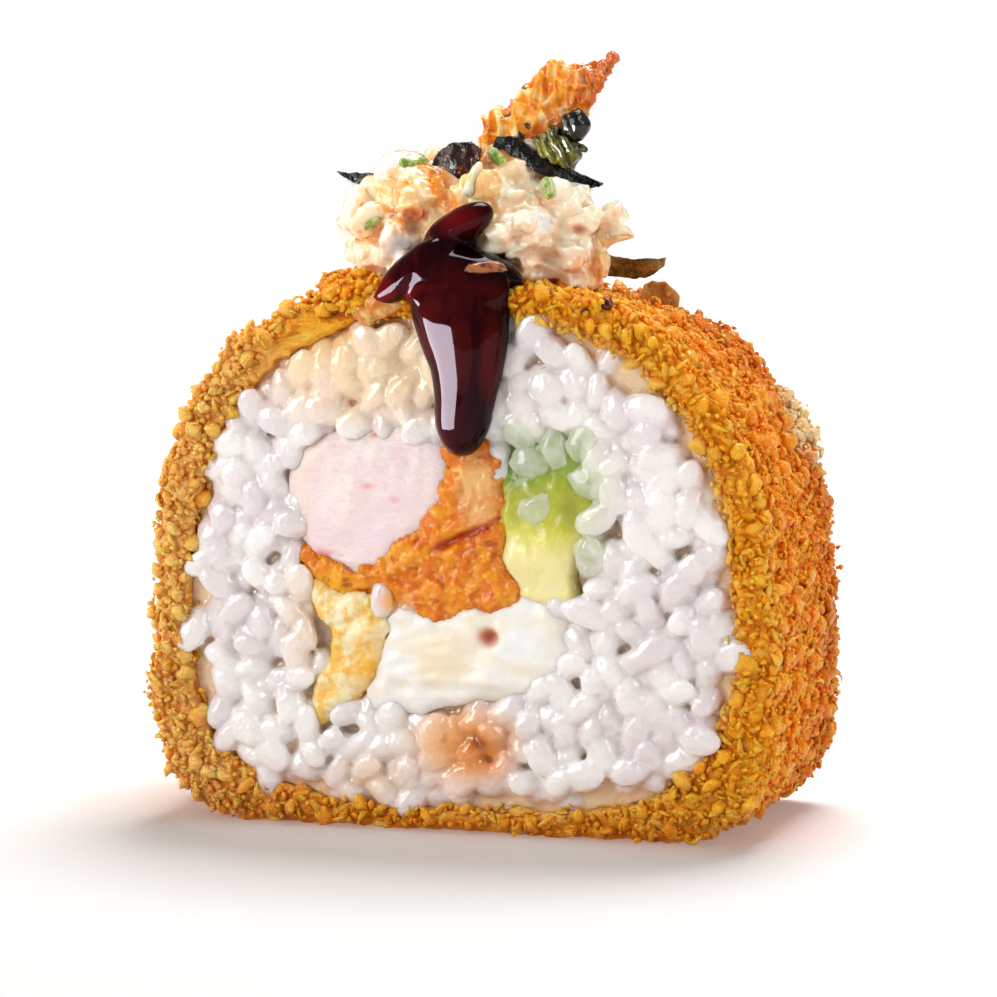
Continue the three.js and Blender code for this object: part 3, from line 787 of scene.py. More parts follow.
core = reskin(copy_of("rice", "rice_core"), SEAT_FACE, 3)
emboss(core, lambda p: SEAT_GROWTH)
mark_seat(core, rice_share)
for vertex in core.data.vertices:
    if abs(vertex.co.y) > SEAT_DEPTH * MM:
        vertex.co.y = math.copysign(SEAT_DEPTH * MM, vertex.co.y)
grain_kit = [grain_shape(0.4, 0.1), grain_shape(-0.3, 0.16), grain_shape(0.15, -0.08)]
grain_look = {"shapes": grain_kit, "finish_used": rice, "sizes": GRAIN_SIZES, "tilt": GRAIN_TILT}
grain_layers = [lay_over(core, name, **grain_look, **layer) for name, layer in GRAIN_LAYERS.items()]
for name, side in {"rice_front": -1, "rice_back": 1}.items():
    reach = sorted((side * SLAB_BACK, side * ALL_THROUGH))
    slab = keep_slab(new_piece("slab", core.data.copy()), *reach)
    halves = [one_side(layer, side) for layer in grain_layers]
    face = run_together(name, [slab, *halves], RICE_SKIN, 1)
    keep_slab(face, *sorted((side * FACE_BACK, side * ALL_THROUGH)))
    dress(cut_by_knife(face), rice, "rice", "rice")
for layer in grain_layers:
    bpy.data.objects.remove(layer)
dress(keep_slab(core, -FACE_BACK, FACE_BACK), rice, "rice", "rice")

clear_rice, shader, place = finish(
    "clear_rice", {"Roughness": 0.1, "Alpha": 0.5, **wet_film(1.0, 0.04)}
)
tone = place.clouds(1.6, 3.0).from_to(0.35, 0.65).mix("DDE8C0", "FAFCEC")
tone.feed(shader, "Base Color")
place.clouds(0.8, 2.0).bump(shader, 0.1)

clear = []
for number, (x, z) in enumerate(CLEAR_GRAINS):
    ball = unit_ball(14, 10)
    for vertex in ball.verts:
        vertex.co *= 1 + 0.35 * noise.noise(vertex.co * 1.3 + Vector((number, 4, 1)))
    ball.transform(Matrix.Diagonal((*CLEAR_GRAIN, 1)))
    ball.transform(Matrix.Rotation(number * CLEAR_GRAIN_TURN, 4, "Y"))
    ball.transform(Matrix.Scale(MM, 4) @ Matrix.Translation((x, -CLEAR_GRAIN_DEPTH, z)))
    clear.append(mesh_from(ball, "clear grain"))
clear_grains = new_piece("rice_clear_grains", join("rice_clear_grains", clear))
dress(clear_grains, clear_rice, "rice", "rice")

# Crust, under its crumbs: the batter that holds the breadcrumbs on, fried to a firm shell
# round the rice. It shows as a thin smooth band next to the rice, pale on the right and amber
# on the left, and is thickest at the upper left, where it is orange-yellow and folded.
CRUST_SKIN = 0.45
THICK_BATTER = Vector((-15, -14, 49.6))
THICK_REACH = 8.5
BAND_LEFT = 0.5
BAND_RIGHT = 0.45
BAND_AT_BATTER = 3.2
SIDES_MEET = 8.0
FOLD_HEIGHT = 1.6
UNDERSIDE = 0.4

rice_wall = skin_of(frame["nodes"]["rice"].data)


def from_rice(p):
    """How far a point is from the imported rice, in mm."""
    return rice_wall.find_nearest(p * MM)[3] / MM


def share_between(value, low, high):
    """0 at low, 1 at high and even between them."""
    return min(1.0, max(0.0, (value - low) / (high - low)))


def crumbs_share(p, normal):
    """Crumbs cover the shell but for the band next to the rice and the flat underneath."""
    near_batter = max(0.0, 1 - (p - THICK_BATTER).length / THICK_REACH)
    band = BAND_LEFT + (BAND_RIGHT - BAND_LEFT) * share_between(p.x, -SIDES_MEET, SIDES_MEET)
    band += 0.5 * noise.noise(p / 2.5) + BAND_AT_BATTER * near_batter
    if from_rice(p) < band or (p.z < UNDERSIDE and normal.z < -0.5):
        return 0.0
    return 1.0


def crust_colour(place):
    """The crust's colour, part painted light and shade: pale by rice, gold at the cut, browner to the
    back.
    """
    apart = place.mark("from_rice")
    wander = place.clouds(5.0, 3.0, 0.6)
    depth = place.axis(1) + 8.0 * (wander - 0.5)
    across = place.axis(0)
    gold = wander.from_to(0.35, 0.65).mix("FFA010", "FFB832")
    orange = wander.from_to(0.35, 0.65).mix("FF7E00", "FF960A")
    brown = wander.from_to(0.35, 0.65).mix("AC4400", "D46200")
    # Gold at the cut to brown at the back: part fried colour, part painted shade away from the light.
    tone = depth.from_to(-13, -7).mix(gold, orange)
    tone = depth.from_to(-2, 9).mix(tone, brown)
    # Paler on the left: painted light from that side.
    left = across.from_to(-10, -26)
    tone = (left * 0.85).mix(tone, "FFCA7C")
    # Darker near the floor: painted shade.
    low = place.axis(2).from_to(5, 0.5)
    tone = (low * 0.6).mix(tone, "B86210")
    right = across.from_to(-SIDES_MEET, SIDES_MEET)
    pale = (0.7 + 0.4 * right - apart).from_to(-0.4, 0.4)
    band = right.mix("FCA93C", "FFC76C")
    return (pale * 0.75).mix(tone, band)


def batter_folds(p):
    """Unevenness of the shell, with thick folds where the bare batter shows."""
    bare = max(0.0, 1 - (p - THICK_BATTER).length / (1.4 * THICK_REACH))
    folds = 0.35 - abs(noise.noise(Vector((p.x / 4.5, p.y / 2.4, p.z / 1.6))))
    uneven = 0.3 * noise.noise(p / 1.6) + 0.2 * noise.noise(p / 0.7) - 0.15
    return uneven + FOLD_HEIGHT * bare * folds


crust, shader, place = finish(
    "fried_batter",
    {
        "Roughness": 0.3,
        **soft_inside(0.4, (1.0, 0.5, 0.15), 0.8),
        "Specular Tint": (1.0, 0.7, 0.3, 1.0),
    },
)
tone = crust_colour(place)
CRUST_MARKS = [
    (THICK_BATTER, (9, 5, 5), "FFB42A", 0.85),
    ((-12.0, -14, 50.7), (3.4, 4, 0.8), "7E1A06", 1.0),
    ((-9.0, -14, 49.6), (2.2, 3, 1.6), "A83C0A", 0.6),
]
tone = stained(tone, place, CRUST_MARKS)
creases = place.stretched(0.5, 1.0, 1.0).clouds(1.4, 4.0, 0.6, 0.6)
# Darker in the hollows of this crease relief and lighter on its ridges: painted shade and highlight.
tone = (creases.from_to(0.5, 0.4) * 0.75).mix(tone, "CC660A")
tone = (creases.from_to(0.52, 0.62) * 0.7).mix(tone, "FFD468")
tone.feed(shader, "Base Color")
(place.clouds(0.6, 4.0, 0.65) + creases * 1.5).bump(shader, 0.45)

shell = reskin(copy_of("crust", "crust_shell"), CRUST_SKIN, 2)
emboss(shell, batter_folds)
for vertex in shell.data.vertices:
    vertex.co.z = max(vertex.co.z, 0.0)
mark_seat(shell, crumbs_share)
mark_points(shell.data, "from_rice", [from_rice(vertex.co / MM) for vertex in shell.data.vertices])
dress(shell, crust, "crust", "crust")

# Breadcrumbs: dry white breadcrumbs fried onto the batter until they are glassy. Large ones
# stand out over fine ones, with thin curved shards between them and beads of batter on top.
# Their colour is painted darker in the hollows between them, as shade, and paler at the tips that
# stand out, as light. One clump at the back right stayed pale.
CRUMBS = {
    "crumbs_large": {"size": 1.8, "fineness": 2, "spacing": 1.6, "sizes": (0.45, 1.2), "lift": 0.3},
    "crumbs_fine": {"size": 0.95, "fineness": 1, "spacing": 0.8, "sizes": (0.6, 1.2), "lift": 0.3},
    "crumb_beads": {"size": 0.6, "fineness": 1, "spacing": 0.8, "sizes": (0.6, 1.2), "lift": 0.8},
}
CRUMB_KINDS = 6
CRUMBS_SUNK = 0.1
SHARD_LENGTH = 1.9
SHARDS = [(0.25, 0.5), (0.5, 0.35), (0.1, 0.6)]
SHARD_LAYER = {"spacing": 1.5, "sizes": (0.6, 1.2), "tilt": 0.7, "lift": 0.4, "seed": 14}
SHARD_TIP = 2.0
PALE_CLUMP = (28, 12.5, 38)
PALE_REACH = (7, 8, 6.5)

crumb_finish, shader, place = finish(
    "fried_breadcrumbs",
    {
        "Roughness": 0.15,
        **soft_inside(0.7, (1.0, 0.45, 0.08), 1.2),
        "Specular IOR Level": 0.8,
        "Specular Tint": (1.0, 0.72, 0.14, 1.0),
    },
)
own = place.mark("tone")
tip = place.mark("tip")
stands = place.mark("stands")
tone = crust_colour(place)
tone = (own.from_to(0.75, 1.0) * 0.4).mix(tone, "FFBA50")
tone = (own.from_to(0.25, 0.0) * 0.45).mix(tone, "FF8610")
# Darker the closer a crumb lies to the shell: painted shade in the hollows between crumbs.
tone = (stands.from_to(0.9, 0.1) * 0.6).mix(tone, "FF7A04")
# Paler at the outer tips of crumbs that stand out: painted light.
tone = (tip.from_to(0.3, 0.9) * stands.from_to(0.4, 1.1) * 0.55).mix(tone, "FFC24A")
tone = (tip.from_to(1.0, SHARD_TIP) * 0.35).mix(tone, "FFB436")
bubble_rims = place.cells(0.6, "DISTANCE_TO_EDGE")
tone = (bubble_rims.from_to(0.08, 0.02) * 0.3).mix(tone, "FFC048")
pale_clump = place.near(PALE_CLUMP, PALE_REACH, 0.6)
tone = (pale_clump * 0.8).mix(tone, "FFE0B4")
tone.feed(shader, "Base Color")
(place.clouds(0.3, 3.0, 0.65) - bubble_rims.from_to(0.1, 0.0) * 0.5).bump(shader, 0.15)


def crumb_shape(size, fineness, seed):
    """One glassy crumb, with how far out each point is as its tip."""
    crumb = bmesh.new()
    bmesh.ops.create_icosphere(crumb, subdivisions=fineness, radius=1.0)
    draw = random.Random(seed)
    squash = Vector([draw.uniform(0.55, 1.2) for _ in range(3)])
    offset = Vector([draw.uniform(0, 50) for _ in range(3)])
    radii = []
    for vertex in crumb.verts:
        ragged = noise.noise(vertex.co * 1.3 + offset) + 0.4 * noise.noise(vertex.co * 3 + offset)
        radius = 1 + 0.55 * ragged
        radii.append(radius)
        vertex.co = vertex.co * squash * (radius * size / 2 * MM)
    mesh = mesh_from(crumb, "crumb")
    low, high = min(radii), max(radii)
    mark_points(mesh, "tip", [share_between(radius, low, high) for radius in radii])
    return mesh


def shard_shape(curl, width):
    """A thin curved flake of crumb: a bent bar, tapered to both ends."""
    shard = bmesh.new()
    bmesh.ops.create_cube(shard, size=1.0)
    lengthways = [edge for edge in shard.edges if abs((edge.verts[0].co - edge.verts[1].co).x) > 0.5]
    bmesh.ops.subdivide_edges(shard, edges=lengthways, cuts=4)
    for vertex in shard.verts:
        along = vertex.co.x * 2
        taper = 1 - 0.7 * along * along
        vertex.co.x = along * SHARD_LENGTH / 2 * MM
        vertex.co.y *= width * taper * MM
        vertex.co.z = (vertex.co.z * 0.28 * taper + curl * (1 - along * along)) * MM
    mesh = mesh_from(shard, "shard")
    mark_points(mesh, "tip", [SHARD_TIP] * len(mesh.vertices))
    return mesh


shell_skin = skin_of(shell.data)


def fry_on(name, shapes, spacing, sizes, tilt, lift, seed):
    """Lays one kind of crumb over the shell, each point marked with how far it stands out."""
    lifts = (-CRUMBS_SUNK, lift)
    layer = lay_over(shell, name, shapes, crumb_finish, spacing, sizes, tilt, lifts, seed)
    heights = []
    for vertex in layer.data.vertices:
        vertex.co.z = max(vertex.co.z, 0.0)
        heights.append(shell_skin.find_nearest(vertex.co)[3] / MM)
    mark_points(layer.data, "stands", heights)
    dress(layer, crumb_finish, "crust")


for seed, (name, kind) in enumerate(CRUMBS.items(), 11):
    draws = range(seed * 10, seed * 10 + CRUMB_KINDS)
    crumb_kit = [crumb_shape(kind["size"], kind["fineness"], number) for number in draws]
    fry_on(name, crumb_kit, kind["spacing"], kind["sizes"], math.pi, kind["lift"], seed)
shard_kit = [shard_shape(*shard) for shard in SHARDS]
fry_on("crumb_shards", shard_kit, **SHARD_LAYER)

# Seafood salad: chopped seafood sticks in a thick creamy dressing, heaped on the crust. The
# dressing draws into wet folds over the chunks, peach on the left and milky on the right.
SALAD_SKIN = 0.22
MOUND_SKIN = 0.5
MOUND_SET_IN = 0.7
CHUNK = 5.4
CHUNK_BLUNTNESS = 2.8
CHUNK_KINDS = 5
CHUNK_LAYER = {"spacing": 3.3, "sizes": (0.55, 1.1), "tilt": 0.9, "lift": (-0.7, 0.2), "seed": 21}
CHUNKS_LEFT_OF = 12.0
CHUNKS_ABOVE = 52.5
EXTRA_CHUNKS = [
    ((2.2, -2.8, 64.6), (3.0, 2.4, 2.0)),
    ((-9.0, -2.6, 63.3), (3.0, 2.8, 2.3)),
    ((-13.0, -3.0, 59.6), (2.0, 2.4, 2.6)),
    ((12.0, -2.0, 59.8), (1.7, 1.8, 1.3)),
    ((13.0, -2.2, 58.0), (1.9, 1.2, 0.8)),
]
WAIST_EDGE = 11.0
WAIST_TOP = 57.2
WAIST_KEEPS = 0.35
WAIST_BLEND = 0.6

salad, shader, place = finish(
    "dressed_seafood",
    {"Roughness": 0.2, **soft_inside(0.6, (1.0, 0.7, 0.5), 1.3), **wet_film(0.6, 0.05)},
)
chunk_tone = place.mark("tone")
tone = chunk_tone.from_to(0.15, 0.85).mix("FCD294", "FFF0D2")
right = place.axis(0).from_to(-2, 4)
tone = (right * chunk_tone.from_to(0.2, 0.8) * 0.8).mix(tone, "FDECD2")
tone = (right * chunk_tone.from_to(0.5, 0.15) * 0.7).mix(tone, "F8C880")
orange = place.clouds(3.0, 3.0, 0.6)
tone = (orange.from_to(0.5, 0.64) * (1 - 0.65 * right)).mix(tone, "F39A2E")
tone = (orange.from_to(0.4, 0.28) * 0.6).mix(tone, "FAF2EC")
SALAD_MARKS = [
    ((-3.5, -4, 64), (3, 6, 3), "F0961E", 0.8),
    ((-11.5, -7, 54.5), (3.6, 5, 3.2), "F2BC7C", 0.7),
    ((-9.7, -8, 58.4), (3, 6, 2), "F3A136", 0.7),
    # White of the seafood, with a painted highlight over it.
    ((-7.0, -9.5, 57.2), (3.0, 4, 2.2), "F8F4FA", 1.0),
    ((-5.7, -8, 60.3), (1.7, 3.5, 1.2), "DA3A22", 0.9),
    ((-10.8, -5, 64.5), (2.2, 4, 1.2), "F7EDEA", 0.8),
    ((-12, -4, 66), (1.2, 3, 0.8), "D8552A", 0.6),
    ((2.0, -9, 58.5), (2.2, 4, 2), "F4B24E", 0.6),
    ((10.3, -7, 58.7), (1.1, 3, 0.9), "A84A22", 0.9),
    ((11.9, -8, 55.4), (3.0, 5, 2.2), "EDA45A", 0.7),
    ((6.6, -8, 59.5), (2.4, 4, 1.8), "F8F2F2", 0.8),
    ((1.6, -4, 65.6), (3.0, 5, 1.5), "F2A43A", 0.8),
    ((-9.5, -5, 65.5), (3.4, 5, 1.6), "FCEFEA", 0.8),
    # Painted shadow on the salad under the flake and the curl.
    ((6.0, -1, 67.2), (2.2, 3.5, 1.6), "5A4A1C", 0.9),
]
tone = stained(tone, place, SALAD_MARKS)
tone.feed(shader, "Base Color")
(place.clouds(0.8, 3.0) + place.clouds(0.3, 2.0) * 0.3).bump(shader, 0.12)


def squareness(corner, power):
    """How much further out a ball's point lies when the ball nears a block."""
    return sum(abs(part) ** power for part in corner) ** (-1 / power)


def chunk_shape(seed):
    """A chopped chunk of seafood stick: a long block with blunt corners and uneven sides."""
    draw = random.Random(seed)
    chunk = unit_ball(12, 8)
    sides = Vector((1.0, draw.uniform(0.45, 0.75), draw.uniform(0.35, 0.55)))
    offset = Vector([draw.uniform(0, 50) for _ in range(3)])
    for vertex in chunk.verts:
        blunt = squareness(vertex.co, CHUNK_BLUNTNESS)
        uneven = 1 + 0.25 * noise.noise(vertex.co * 1.3 + offset)
        vertex.co = vertex.co * sides * (blunt * uneven * CHUNK / 2 * MM)
    return mesh_from(chunk, "chunk")


def chunk_share(p, normal):
    """Chunks cover the mound but for its underside, its foot and its far right."""
    if normal.z < -0.3 or p.x > CHUNKS_LEFT_OF or p.z < CHUNKS_ABOVE:
        return 0.0
    return 1.0


def dressing_folds(p):
    drawn = Vector((p.x / 2.6, p.y / 2.6, p.z / 1.9))
    folds = 0.3 - abs(noise.noise(drawn))
    fine = 0.3 - abs(noise.noise(p / 1.1 + Vector((5, 1, 8))))
    return 1.3 * folds + 0.35 * fine


mound = reskin(copy_of("salad", "mound"), MOUND_SKIN, 3)
mark_seat(mound, chunk_share)
emboss(mound, lambda p: -MOUND_SET_IN)
chunk_kit = [chunk_shape(number) for number in range(CHUNK_KINDS)]
chunks = lay_over(mound, "chunks", chunk_kit, salad, **CHUNK_LAYER)
extra = []
for middle, halves in EXTRA_CHUNKS:
    ball = unit_ball(16, 10)
    for vertex in ball.verts:
        vertex.co *= 1 + 0.3 * noise.noise(vertex.co * 1.2 + Vector(middle))
    ball.transform(Matrix.Diagonal((*halves, 1)))
    ball.transform(Matrix.Scale(MM, 4) @ Matrix.Translation(middle))
    extra.append(mesh_from(ball, "extra chunk"))
more_chunks = new_piece("more chunks", join("more chunks", extra))
heap = run_together("seafood_salad", [mound, chunks, more_chunks], SALAD_SKIN, 3)
emboss(heap, dressing_folds)
for vertex in heap.data.vertices:
    past = vertex.co.x / MM - WAIST_EDGE
    if past > 0:
        low_share = share_between(vertex.co.z / MM, WAIST_TOP + WAIST_BLEND, WAIST_TOP - WAIST_BLEND)
        vertex.co.x -= (1 - WAIST_KEEPS) * low_share * past * MM
dress(heap, salad, "salad", "salad")

# Sauce: a thick, sweet soy sauce poured over the front. It lies in a pool over the crust's
# rim and runs down the cut, near black where it is thick and deep red at its thin edges.
SAUCE_SKIN = 0.25
SAUCE_SOFTENING = 20
RUN_TOP = 52.0
RUN_FRONT = -16.6
RUN_BACK = -15.0
RUN_SET_IN = 0.6
RUN_SOFTENING = 10
JUST_INSIDE = 0.05

sauce, shader, place = finish(
    "dark_sauce",
    {"Roughness": 0.05, "Specular IOR Level": 0.13, "Specular Tint": (0.95, 0.82, 0.98, 1.0)},
)
thick = place.mark("thickness")
streaks = place.stretched(1.0, 1.0, 0.3).clouds(2.0, 3.0, 0.5, 0.6)
tone = streaks.from_to(0.35, 0.7).mix("120102", "220303")
tone = (thick.from_to(2.6, 0.9) * 0.9).mix(tone, "360403")
tone = (thick.from_to(1.1, 0.3) * 0.8).mix(tone, "601806")
SAUCE_MARKS = [
    ((0.4, -11.5, 60.2), (4, 4, 2.4), "460606", 0.8),
    ((4.6, -16, 45), (1.6, 4, 8), "4E0A04", 0.7),
]
tone = stained(tone, place, SAUCE_MARKS)
tone.feed(shader, "Base Color")


def mark_thickness(piece):
    """Marks each point with how thick the piece is behind it, in mm."""
    skin = skin_of(piece.data)
    depths = []
    for vertex in piece.data.vertices:
        inside = vertex.co - vertex.normal * (JUST_INSIDE * MM)
        depths.append((skin.ray_cast(inside, -vertex.normal)[3] or 0.0) / MM)
    mark_points(piece.data, "thickness", depths)


pour = reskin(copy_of("sauce", "dark_sauce"), SAUCE_SKIN, SAUCE_SOFTENING)
emboss(pour, lambda p: 0.3 + 0.15 * noise.noise(p / 3.5))
# The edges of the run are set back behind its front, so that it hugs the rice.
for vertex in pour.data.vertices:
    place_now = vertex.co / MM
    if place_now.z < RUN_TOP:
        vertex.co.y += share_between(place_now.y, RUN_FRONT, RUN_BACK) * RUN_SET_IN * MM
pour.data.update()
reskin(pour, SAUCE_SKIN, RUN_SOFTENING)
mark_thickness(pour)
dress(pour, sauce, "sauce", "sauce")

# Crisp flake: a sheet of batter fried until it blistered, standing in the top of the salad.
# It is thin and golden, pale at its blisters and dark red-brown at the tip.
FLAKE_SKIN = 0.15
FLAKE_CELL = 1.25
FLAKE_TOP = 73.0
FLAKE_FOOT = 67.0
FLAKE_SAG = 1.7
FLAKE_SAG_MIDDLE = 3.4
FLAKE_SAG_REACH = 3.2

flake_finish, shader, place = finish(
    "crisp_flake",
    {
        "Roughness": 0.22,
        **soft_inside(0.5, (1.0, 0.5, 0.15), 0.8),
        "Specular Tint": (1.0, 0.85, 0.6, 1.0),
        **wet_film(0.4, 0.06),
    },
)
blister = place.stretched(1.0, 1.0, 0.7).cells(FLAKE_CELL)
tone = blister.from_to(0.15, 0.6).mix("FFE9A8", "F9A61E")
tone = (blister.from_to(0.55, 0.85) * 0.7).mix(tone, "D8640A")
to_tip = place.axis(0) + 0.6 * (place.axis(2) - 70) + 4.0 * (place.clouds(2.0) - 0.5)
tone = (to_tip.from_to(8, 14) * 0.8).mix(tone, "BC4408")
low_edge = place.axis(2) - 0.9 * place.axis(0)
tone = (low_edge.from_to(66.0, 63.5) * 0.6).mix(tone, "C85A10")
tone = (place.clouds(1.4, 3.0, 0.6).from_to(0.63, 0.67) * 0.97).mix(tone, "170A05")
tone.feed(shader, "Base Color")
place.clouds(0.5, 3.0, 0.6).bump(shader, 0.15)


def flake_blisters(p):
    nearest, second = noise.voronoi(Vector((p.x, p.y, p.z * 0.7)) / FLAKE_CELL)[0][:2]
    wall = min(1.0, (second - nearest) / 0.4)
    return 0.35 - 0.6 * wall + 0.3 * noise.noise(p / 0.8)


flake = reskin(copy_of("crisp_flake", "crisp_flake_sheet"), FLAKE_SKIN, 2)
emboss(flake, flake_blisters)
for vertex in flake.data.vertices:
    off_middle = (vertex.co.x / MM - FLAKE_SAG_MIDDLE) / FLAKE_SAG_REACH
    low_share = share_between(vertex.co.z / MM, FLAKE_TOP, FLAKE_FOOT)
    vertex.co.z -= FLAKE_SAG * low_share * math.exp(-off_middle * off_middle) * MM
dress(flake, flake_finish, "crisp", "crisp_flake")

# Seaweed: torn scraps of toasted seaweed in and round the salad, wet with dressing. They are
# paper thin, nearly black and glossy, and two are browner where the light comes through. The
# chip at the right is softened by the dressing on it.
NORI_SKIN = 0.14


def wrinkles(p):
    creases = 0.25 - abs(noise.noise(p / 1.3 + Vector((3, 3, 3))))
    return 0.18 * noise.noise(p / 1.8) + 0.3 * creases - 0.1


def seaweed(name, dark, light, edge):
    """A wet seaweed finish from its dark, light and thin-edge colours."""
    material, shader, place = finish(name, {"Roughness": 0.08, "Specular IOR Level": 0.3})
    patches = place.clouds(1.8, 4.0, 0.6)
    tone = patches.from_to(0.4, 0.65).mix(dark, light)
    tone = (place.clouds(0.9, 2.0).from_to(0.6, 0.72) * 0.7).mix(tone, edge)
    tone.feed(shader, "Base Color")
    (place.clouds(0.4, 3.0) + patches).bump(shader, 0.15)
    return material


dark_seaweed = seaweed("dark_seaweed", "060504", "140E0A", "2E1E0E")
glazed_seaweed = seaweed("glazed_seaweed", "0A0605", "24100A", "9A4E1A")
brown_seaweed = seaweed("brown_seaweed", "4E4420", "96783C", "B4843A")
amber_seaweed = seaweed("amber_seaweed", "B4742C", "DCA45C", "F0C078")
# Each scrap's finish, slot and softening.
SCRAPS = {
    "nori_long": (dark_seaweed, "nori", 2),
    "nori_glazed": (glazed_seaweed, "nori", 2),
    "nori_left": (dark_seaweed, "nori", 2),
    "nori_right": (brown_seaweed, "brown_seaweed", 2),
    "nori_chip": (amber_seaweed, "brown_seaweed", 30),
}
wet_pieces = [pour]
for node, (material, slot, softening) in SCRAPS.items():
    scrap = reskin(copy_of(node, node + "_scrap"), NORI_SKIN, softening)
    emboss(scrap, wrinkles)
    wet_pieces.append(dress(scrap, material, slot, node))

# Seaweed curls: two wilted fronds drawn into tight pleats beside the flake, one black and
# one olive green. Each is painted lighter along its raised folds as a highlight, gold on the green.
def pleated(middle, pleats, depth):
    """Round ribs side by side across a curl, pleats mm apart and depth mm deep."""

    def height(p):
        away = p - middle
        across = away.x + 0.45 * away.z + 0.12 * away.z * away.z + 0.3 * noise.noise(p / 1.6)
        rib = abs(math.sin(math.pi * across / pleats)) ** 0.7
        return depth * (rib - 0.6) + 0.06 * noise.noise(p / 0.6)

    return height


def frond(name, dark, light, fold_highlight):
    material, shader, place = finish(name, {"Roughness": 0.16, "Specular IOR Level": 0.5})
    folds = place.stretched(1.0, 1.0, 0.4).clouds(0.9, 3.0, 0.6, 0.8)
    tone = folds.from_to(0.35, 0.6).mix(dark, light)
    # Lighter along the raised folds: a painted highlight.
    tone = (folds.from_to(0.58, 0.7) * 0.8).mix(tone, fold_highlight)
    tone.feed(shader, "Base Color")
    folds.bump(shader, 0.12)
    return material


black_frond = frond("black_frond", "040503", "10100A", "2A280E")
green_frond = frond("green_frond", "2C2C08", "524E14", "7E6824")
# Each curl's finish, slot, pleats and their depth in mm, and softening.
CURLS = {
    "seaweed_curl_dark": (black_frond, "nori", 2.2, 0.2, 30),
    "seaweed_curl_green": (green_frond, "green_seaweed", 1.1, 0.55, 4),
}
for node, (material, slot, pleats, depth, softening) in CURLS.items():
    low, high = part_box(node)
    curl = reskin(copy_of(node, node + "_frond"), NORI_SKIN, softening)
    emboss(curl, pleated((low + high) / (2 * MM), pleats, depth))
    wet_pieces.append(dress(curl, material, slot, node))

# Small bits: what is scattered over the slice. Chopped spring onion and a pale stick lie on the
# salad, soft fried onion is caught in the sauce, and a few drops of sauce fell on the crust.
def bits(name, skin, shapes, material, slot, blunt):
    """A piece of small rounded bits, each laid on a surface near a point, in mm and degrees."""
    made = []
    for number, (middle, halves, turn) in enumerate(shapes):
        spot, normal = skin.find_nearest(Vector(middle) * MM)[:2]
        ball = unit_ball(16, 10)
        for vertex in ball.verts:
            uneven = 1 + 0.2 * noise.noise(vertex.co * 1.4 + Vector((number, 3, 7)))
            vertex.co = vertex.co * (squareness(vertex.co, blunt) * uneven)
        ball.transform(Matrix.Diagonal((*halves, 1)))
        ball.transform(Matrix.Rotation(math.radians(turn), 4, "Z"))
        ball.transform(Matrix.Scale(MM, 4))
        stand = normal.to_track_quat("Z", "Y").to_matrix().to_4x4()
        ball.transform(Matrix.Translation(spot) @ stand)
        made.append(mesh_from(ball, "bit"))
    return dress(new_piece(name, join(name, made)), material, slot)


def wet_bit(name, dark, light, size):
    """A glossy finish in two tones that lets a little light in."""
    settings = {"Roughness": 0.18, "Subsurface Weight": 0.4, "Subsurface Scale": 0.8 * MM}
    material, shader, place = finish(name, settings)
    patches = place.clouds(size, 3.0, 0.6)
    patches.from_to(0.38, 0.62).mix(dark, light).feed(shader, "Base Color")
    patches.bump(shader, 0.1)
    return material


salad_skin = skin_of(heap.data)
SPRING_ONION = [
    ((-6.5, -5.0, 67.4), (1.6, 0.8, 0.45), 10),
    ((1.6, -5.5, 66.0), (1.3, 0.6, 0.5), -50),
    ((6.4, -8.5, 62.7), (0.8, 1.1, 0.5), 20),
    ((-9.4, -10.0, 59.2), (1.2, 0.5, 0.3), 25),
]
spring_onion = wet_bit("spring_onion", "6E8A1E", "C4CF86", 1.0)
bits("spring_onion", salad_skin, SPRING_ONION, spring_onion, "green_seaweed", 2.6)
PALE_STICK = [
    ((0.2, -9.0, 63.6), (0.5, 1.8, 0.5), -10),
]
pale_stick = wet_bit("pale_stick", "D8CDA0", "F8F2E2", 2.4)
bits("pale_stick", salad_skin, PALE_STICK, pale_stick, "salad", 4.0)
FRIED_ONION = [
    ((-6.8, -15.5, 51.3), (2.3, 1.3, 0.9), 25),
    ((-9.0, -15.5, 50.2), (1.3, 0.9, 0.7), -30),
]
FRIED_ONION_HIGH = [
    ((3.4, -15.0, 55.4), (1.9, 0.7, 0.3), 0),
]
soft_onion = wet_bit("fried_onion", "D07A1C", "F6C070", 1.4)
bits("fried_onion_low", shell_skin, FRIED_ONION, soft_onion, "crisp", 3.0)
glazed_onion = wet_bit("glazed_onion", "4A1208", "A8683A", 1.3)
bits("fried_onion_high", skin_of(pour.data), FRIED_ONION_HIGH, glazed_onion, "crisp", 3.0)
SAUCE_DROPS = [
    ((15.2, -13.0, 53.0), (1.0, 0.7, 0.7), 0),
    ((9.4, -14.5, 53.4), (0.5, 0.5, 0.5), 0),
    ((13.0, -14.0, 51.4), (0.4, 0.4, 0.5), 0),
]
sauce_drop = wet_bit("sauce_drop", "3A0A04", "6E1E0C", 0.8)
bits("sauce_drops", shell_skin, SAUCE_DROPS, sauce_drop, "sauce", 2.0)

# Floor, light and camera. The slice stands on a plain white surface that glows as painted light,
# brighter far off and weaker and warm near the slice, which warms its shadow. The key, left and
# right lights fall on the slice alone. One above and behind it lays its shadow towards the camera,
# and a small one lights the sauce and seaweed alone, for their gloss.
AIM = Vector((0.15, 0, 31.4)) * MM
CAMERA_TURN = 17.0
CAMERA_RISE = 6.5
CAMERA_DISTANCE = 450 * MM
LENS = 162.5
SEEN_TO = 200.0
FLOOR_HALF = 40.0
FLOOR_PATCHES = 400.0
